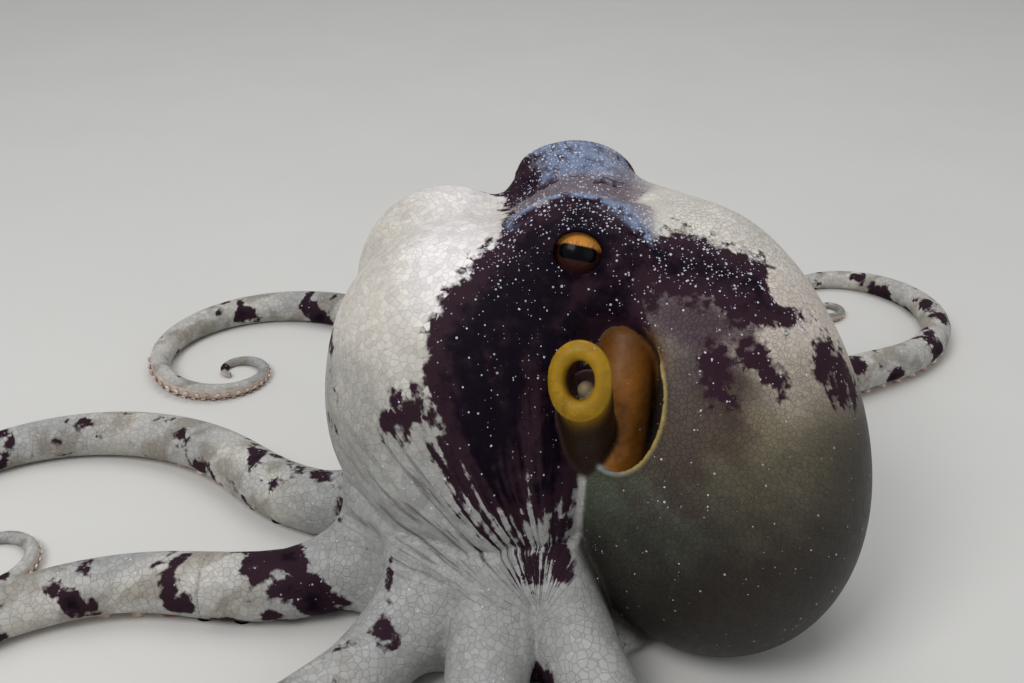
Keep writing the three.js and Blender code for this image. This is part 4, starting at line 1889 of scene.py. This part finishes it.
@dataclass
class SweptArm:
    """The free stretch of one arm as a tube of rings, flattened on its sucker side."""

    plan: ArmPlan
    route: dict[str, np.ndarray]
    rings: int = 210
    flat: float = 0.22

    def frames(self, shares: np.ndarray) -> dict[str, np.ndarray]:
        """Return the arm's middle, radius and directions at shares of its length.

        Args:
            shares: shares of the arm's length.

        Returns:
            Arrays: at, radius, oral (towards the suckers), side and flat.
        """
        route = self.route
        at = np.stack([np.interp(shares, route["share"], route["at"][:, i]) for i in range(3)], axis=-1)
        heading = np.interp(shares, route["share"], route["heading"])
        roll = np.interp(shares, route["share"], route["roll"])
        right = np.stack([np.sin(heading), -np.cos(heading), np.zeros_like(heading)], axis=-1)
        up = np.array([0.0, 0.0, 1.0])
        oral = np.sin(roll)[:, None] * right - np.cos(roll)[:, None] * up
        side = np.cos(roll)[:, None] * right + np.sin(roll)[:, None] * up
        flat = self.flat * step(self.plan.joint, self.plan.joint + 0.08, shares)
        return {"at": at, "radius": self.plan.thickness(shares), "oral": oral, "side": side, "flat": flat,
                "heading": heading}

    def grid(self) -> tuple[np.ndarray, np.ndarray, np.ndarray]:
        """Lay out the rings.

        Returns:
            Vertices (rings, around, 3), the sucker-side weight and the share of each ring.
        """
        t = np.linspace(0.0, 1.0, self.rings)
        shares = self.plan.joint + (1.0 - self.plan.joint) * (1.0 - (1.0 - t) ** 1.35)
        f = self.frames(shares)
        angle = np.linspace(0.0, 2 * math.pi, self.plan.around, endpoint=False)
        c, s = np.cos(angle)[None, :], np.sin(angle)[None, :]
        along_oral = f["radius"][:, None] * (c - f["flat"][:, None] * step(0.2, 1.0, c))
        across = f["radius"][:, None] * s
        points = (f["at"][:, None, :] + along_oral[..., None] * f["oral"][:, None, :]
                  + across[..., None] * f["side"][:, None, :])
        points[..., 2] = np.maximum(points[..., 2], 0.0)
        oral = step(0.2, 0.8, c) * (f["flat"] / self.flat)[:, None]
        return points, oral, shares


@dataclass
class Skin:
    """One closed skin over mantle, head, web, funnel and arms."""

    shape: BodyShape
    cell: float
    fine_reach: float = 13.0
    edge_band: Span = (2.2, 4.0)
    lid_band: Place = (1.08, 0.34, 2.0)
    stump_span: Span = (0.04, 0.07)
    stump_behind: float = 2.5
    stump_reach: float = 40.0
    stump_radius: float = 11.5
    cut_width: float = 0.01

    def refined(self, form: bmesh.types.BMesh, net: SkinNet,
                near: Callable[[np.ndarray], np.ndarray]) -> None:
        """Split the faces where near(centres) is true and settle the new vertices.

        Args:
            form: the mesh being made.
            net: what settles its vertices.
            near: tells which faces to split.
        """
        centres = np.array([f.calc_center_median() for f in form.faces]) / MM
        chosen = near(centres)
        form.faces.ensure_lookup_table()
        edges = {e for i in np.flatnonzero(chosen) for e in form.faces[i].edges}
        made = bmesh.ops.subdivide_edges(form, edges=list(edges), cuts=1, use_grid_fill=True)
        fresh = [v for v in made["geom_inner"] if isinstance(v, bmesh.types.BMVert)]
        places = net.settle(np.array([v.co for v in fresh]) / MM)
        for vertex, place in zip(fresh, places * MM):
            vertex.co = place

    def fine_places(self, centres: np.ndarray) -> np.ndarray:
        """Tell which faces are on lids, the funnel's mouth or the mantle opening's edge.

        Args:
            centres: the faces' middles.

        Returns:
            Flags.
        """
        shape = self.shape
        near = np.zeros(len(centres), bool)
        for eye in shape.eyes:
            near |= np.linalg.norm(centres - eye.centre(), axis=1) < self.fine_reach
        near |= np.linalg.norm(centres - np.asarray(shape.funnel.lip), axis=1) < self.fine_reach
        off_edge, off_body = self.edge_band
        at_edge = np.abs(shape.opening.distance(centres)) < off_edge
        near |= at_edge & (np.abs(shape.outside(centres)) < off_body)
        return near

    def lid_edges(self, centres: np.ndarray) -> np.ndarray:
        """Tell which faces are on the very edges of the lids.

        Args:
            centres: the faces' middles.

        Returns:
            Flags.
        """
        near = np.zeros(len(centres), bool)
        for eye in self.shape.eyes:
            q = eye.local(centres)
            oval = np.hypot(q[:, 0] / eye.opening[0], q[:, 1] / eye.opening[1])
            middle, width, front = self.lid_band
            near |= (np.abs(oval - middle) < width) & (q[:, 2] > front)
        return near

    def build(self, name: str, finish: SkinFinish) -> bpy.types.Object:
        """Grow, join and paint the skin.

        Args:
            name: the piece's name.
            finish: what it is dressed in.

        Returns:
            The skin object.
        """
        net = SkinNet(self.shape, self.cell)
        vertices, faces = net.wrap()
        LOG.info("body net: %d vertices, %d faces", len(vertices), len(faces))
        form = bmesh.new()
        form.from_mesh(fill_mesh("net", vertices, faces))
        along = form.verts.layers.float.new("along")
        oral = form.verts.layers.float.new("oral")
        self.refined(form, net, self.fine_places)
        self.refined(form, net, self.lid_edges)
        for route in self.shape.routes.values():
            self.join_arm(form, SweptArm(self.shape.arms, route), along, oral)
        mesh = bpy.data.meshes.new(name)
        form.to_mesh(mesh)
        form.free()
        self.paint(mesh)
        return make_object(name, mesh, finish.material())

    def join_arm(self, form: bmesh.types.BMesh, arm: SweptArm, along: bmesh.types.BMLayerItem,
                 oral: bmesh.types.BMLayerItem) -> None:
        """Cut the body's arm stump square and join the swept arm to it.

        Args:
            form: the body's mesh.
            arm: the arm to join.
            along: vertex layer for the share along the arm.
            oral: vertex layer for the sucker side.
        """
        frame = arm.frames(np.array([arm.plan.joint]))
        place = frame["at"][0]
        heading = frame["heading"][0]
        ahead = np.array([math.cos(heading), math.sin(heading), 0.0])
        centres = np.array([f.calc_center_median() for f in form.faces]) / MM
        beyond, span = self.stump_span
        nearby = np.abs(arm.route["share"] - arm.plan.joint - beyond) < span
        middle = arm.route["at"][nearby]
        reach = np.min(np.linalg.norm(centres[:, None, :] - middle[None, ::2, :], axis=2), axis=1)
        off = centres - place
        stump = (off @ ahead > -self.stump_behind) & (np.linalg.norm(off, axis=1) < self.stump_reach)
        stump = np.flatnonzero(stump & (reach < self.stump_radius))
        form.faces.ensure_lookup_table()
        picked = [form.faces[i] for i in stump]
        geometry = picked + list({e for f in picked for e in f.edges})
        geometry += list({v for f in picked for v in f.verts})
        cut = bmesh.ops.bisect_plane(form, geom=geometry, dist=self.cut_width * MM,
                                     plane_co=Vector(place * MM), plane_no=Vector(ahead), clear_outer=True)
        rim = [e for e in cut["geom_cut"] if isinstance(e, bmesh.types.BMEdge) and e.is_boundary]
        points, sucker_side, shares = arm.grid()
        rings = []
        for ring, weights, share in zip(points * MM, sucker_side, shares):
            row = [form.verts.new(p) for p in ring]
            for vertex, weight in zip(row, weights):
                vertex[along] = share
                vertex[oral] = weight
            rings.append(row)
        count = arm.plan.around
        for near, far in zip(rings[:-1], rings[1:]):
            for i in range(count):
                j = (i + 1) % count
                form.faces.new((near[i], far[i], far[j], near[j]))
        last = form.verts.new(np.mean([v.co for v in rings[-1]], axis=0))
        last[along] = 1.0
        for i in range(count):
            form.faces.new((rings[-1][i], last, rings[-1][(i + 1) % count]))
        first = [form.edges.get((rings[0][i], rings[0][(i + 1) % count])) for i in range(count)]
        bmesh.ops.bridge_loops(form, edges=rim + first)

    def paint(self, mesh: bpy.types.Mesh) -> None:
        """Store colour, marks and net coordinates on the mesh.

        Args:
            mesh: the finished mesh.
        """
        count = len(mesh.vertices)
        places = np.empty(count * 3, np.float32)
        mesh.vertices.foreach_get("co", places)
        normals = np.empty(count * 3, np.float32)
        mesh.vertex_normals.foreach_get("vector", normals)
        values = {}
        for name in ("along", "oral"):
            values[name] = np.empty(count, np.float32)
            mesh.attributes[name].data.foreach_get("value", values[name])
        painted = Painter(self.shape).paint(places.reshape(-1, 3).astype(float) / MM, normals.reshape(-1, 3),
                                            values["along"], values["oral"])
        give(mesh, "tint", "FLOAT_COLOR", painted["tint"])
        give(mesh, "marks", "FLOAT_COLOR", painted["marks"])
        give(mesh, "flow", "FLOAT_VECTOR", painted["flow"])
        for name in ("along", "oral"):
            mesh.attributes.remove(mesh.attributes[name])


@dataclass
class Suckers:
    """Two staggered rows of suckers under every arm."""

    shape: BodyShape
    sides: int = 12
    first: float = 0.14
    last: float = 0.97
    row: float = 0.42
    size: float = 0.31
    gap: float = 0.56
    profile: tuple[tuple[float, float], ...] = (
        (0.7, -0.15), (0.98, 0.3), (1.0, 0.5), (0.78, 0.64), (0.5, 0.42), (0.26, 0.3), (0.0, 0.22),
    )

    def build(self, name: str, finish: SuckerFinish) -> bpy.types.Object:
        """Set every sucker on its arm.

        Args:
            name: the piece's name.
            finish: what it is dressed in.

        Returns:
            The suckers as one object.
        """
        angle = np.linspace(0, 2 * math.pi, self.sides, endpoint=False)
        rings = np.array(self.profile)
        template = np.stack([rings[:, :1] * np.cos(angle), rings[:, :1] * np.sin(angle),
                             np.repeat(rings[:, 1:], self.sides, axis=1)], axis=-1).reshape(-1, 3)
        faces = ring_faces(len(rings), self.sides)
        all_points, all_faces, count = [], [], 0
        for route in self.shape.routes.values():
            arm = SweptArm(self.shape.arms, route)
            length = np.linalg.norm(np.diff(route["at"], axis=0), axis=1).sum()
            shares = []
            share = self.first
            while share < self.last:
                shares.append(share)
                share += self.gap * float(arm.plan.thickness(np.array(share))) / length
            f = arm.frames(np.array(shares))
            ahead = np.cross(f["side"], f["oral"])
            for i, r in enumerate(f["radius"]):
                spread = self.row * (0.7 + 0.3 * step(0.1, 0.6, 1.0 + f["oral"][i][2]))
                row = spread if i % 2 else -spread
                base = f["at"][i] + f["oral"][i] * r * (1.0 - f["flat"][i]) + f["side"][i] * r * row
                scale = self.size * r
                room = (base[2] - 0.05) / max(1e-6, -scale * rings[:, 1].max() * f["oral"][i][2])
                squeeze = float(np.clip(room, 0.05, 1.0))
                points = (base + scale * (template[:, :1] * ahead[i] + template[:, 1:2] * f["side"][i]
                                          + squeeze * template[:, 2:] * f["oral"][i]))
                points[:, 2] = np.maximum(points[:, 2], 0.02)
                all_points.append(points)
                all_faces.append(faces + count * len(template))
                count += 1
        mesh = fill_mesh(name, np.concatenate(all_points), np.concatenate(all_faces))
        weld(mesh)
        return make_object(name, mesh, finish.material())


@dataclass
class EyeBall:
    """One eye ball, with a slight bulge in front."""

    site: EyeSite
    rings: int = 56
    sides: int = 72
    bulge: float = 0.3

    def build(self, name: str, finish: EyeFinish) -> bpy.types.Object:
        """Make the ball.

        Args:
            name: the piece's name.
            finish: what it is dressed in.

        Returns:
            The eye object.
        """
        t = np.linspace(0.0, 1.0, self.rings)
        psi = math.pi * t**1.7
        angle = np.linspace(0, 2 * math.pi, self.sides, endpoint=False)
        radius = self.site.ball + self.bulge * step(0.62, 0.0, np.sin(np.minimum(psi, math.pi / 2)))
        across = (radius * np.sin(psi))[:, None]
        local = np.stack([across * np.cos(angle), across * np.sin(angle),
                          np.repeat((radius * np.cos(psi))[:, None], self.sides, axis=1)], axis=-1)
        places = local.reshape(-1, 3)
        faces = ring_faces(self.rings, self.sides)[:, [0, 3, 2, 1]]
        points = places @ self.site.axes().T + self.site.centre()
        mesh = fill_mesh(name, points, faces)
        give(mesh, "place", "FLOAT_VECTOR", places)
        weld(mesh)
        return make_object(name, mesh, finish.material())


@dataclass
class Studio:
    """Plain floor, soft lights and the camera; lengths in metres, powers in watts."""

    aim: Place = (-0.002, 0.012, 0.058)
    pitch: float = 28.0
    distance: float = 0.27
    lens: float = 42.0
    sensor: float = 36.0
    floor: float = 8.0
    world: Place = (0.80, 0.83, 0.86)
    world_power: float = 0.5
    lights: tuple[tuple[str, Place, float, float], ...] = (
        ("key", (-0.35, -0.36, 0.66), 0.35, 3.1),
        ("fill", (0.6, -0.5, 0.35), 0.6, 0.7),
        ("top", (0.05, 0.25, 0.9), 0.7, 2.6),
    )

    def build(self, finish: FloorFinish) -> None:
        """Set up camera, lights, world and floor.

        Args:
            finish: what the floor is dressed in.
        """
        scene = bpy.context.scene
        scene.view_settings.view_transform = "Standard"
        camera = bpy.data.cameras.new("camera")
        camera.lens = self.lens
        camera.sensor_width = self.sensor
        camera.clip_start = 0.01
        holder = bpy.data.objects.new("camera", camera)
        ahead = Vector((0.0, math.cos(math.radians(self.pitch)), -math.sin(math.radians(self.pitch))))
        holder.location = Vector(self.aim) - ahead * self.distance
        holder.rotation_euler = ahead.to_track_quat("-Z", "Y").to_euler()
        scene.collection.objects.link(holder)
        scene.camera = holder
        for name, place, size, power in self.lights:
            light = bpy.data.lights.new(name, "AREA")
            light.size = size
            light.energy = power
            lamp = bpy.data.objects.new(name, light)
            lamp.location = place
            lamp.rotation_euler = (Vector(self.aim) - Vector(place)).to_track_quat("-Z", "Y").to_euler()
            scene.collection.objects.link(lamp)
        world = bpy.data.worlds.new("studio")
        world.use_nodes = True
        backdrop = world.node_tree.nodes["Background"]
        backdrop.inputs["Color"].default_value = (*self.world, 1.0)
        backdrop.inputs["Strength"].default_value = self.world_power
        scene.world = world
        half = 0.5 * self.floor / MM
        corners = np.array([(-half, -half, 0), (half, -half, 0), (half, half, 0), (-half, half, 0)])
        sheet = fill_mesh("floor", corners, np.array([(0, 1, 2, 3)]))
        ground = make_object("floor", sheet, finish.material())
        ground.location.z = -0.02 * MM


def skin_nodes() -> list[str]:
    """List the frame's nodes that the skin stands for."""
    body = ["mantle", "head", "crown", "web", "funnel", "collar"]
    return body + [f"arm_{name}_{part}" for name in ARM_NAMES for part in ARM_PARTS]


def main() -> None:
    """Build every piece in order and report it."""
    logging.basicConfig(level=logging.INFO, format="%(name)s: %(message)s")
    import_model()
    Studio().build(FloorFinish())
    LOG.info("studio: floor, camera and %d lights", len(Studio().lights))

    shape = BodyShape()
    skin = Skin(shape, SkinNet.cell).build("skin", SkinFinish())
    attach(skin, "root")
    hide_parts(*skin_nodes())
    LOG.info("skin: %d vertices, %d faces", len(skin.data.vertices), len(skin.data.polygons))

    suckers = Suckers(shape).build("suckers", SuckerFinish())
    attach(suckers, "root")
    LOG.info("suckers: %d vertices", len(suckers.data.vertices))

    for site in shape.eyes:
        ball = EyeBall(site).build(f"eyeball_{site.side.value}", EyeFinish())
        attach(ball, "root")
        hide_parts(f"eye_{site.side.value}")
        LOG.info("eye on the %s: %d vertices", site.side.value, len(ball.data.vertices))


if __name__ == "__main__":
    main()
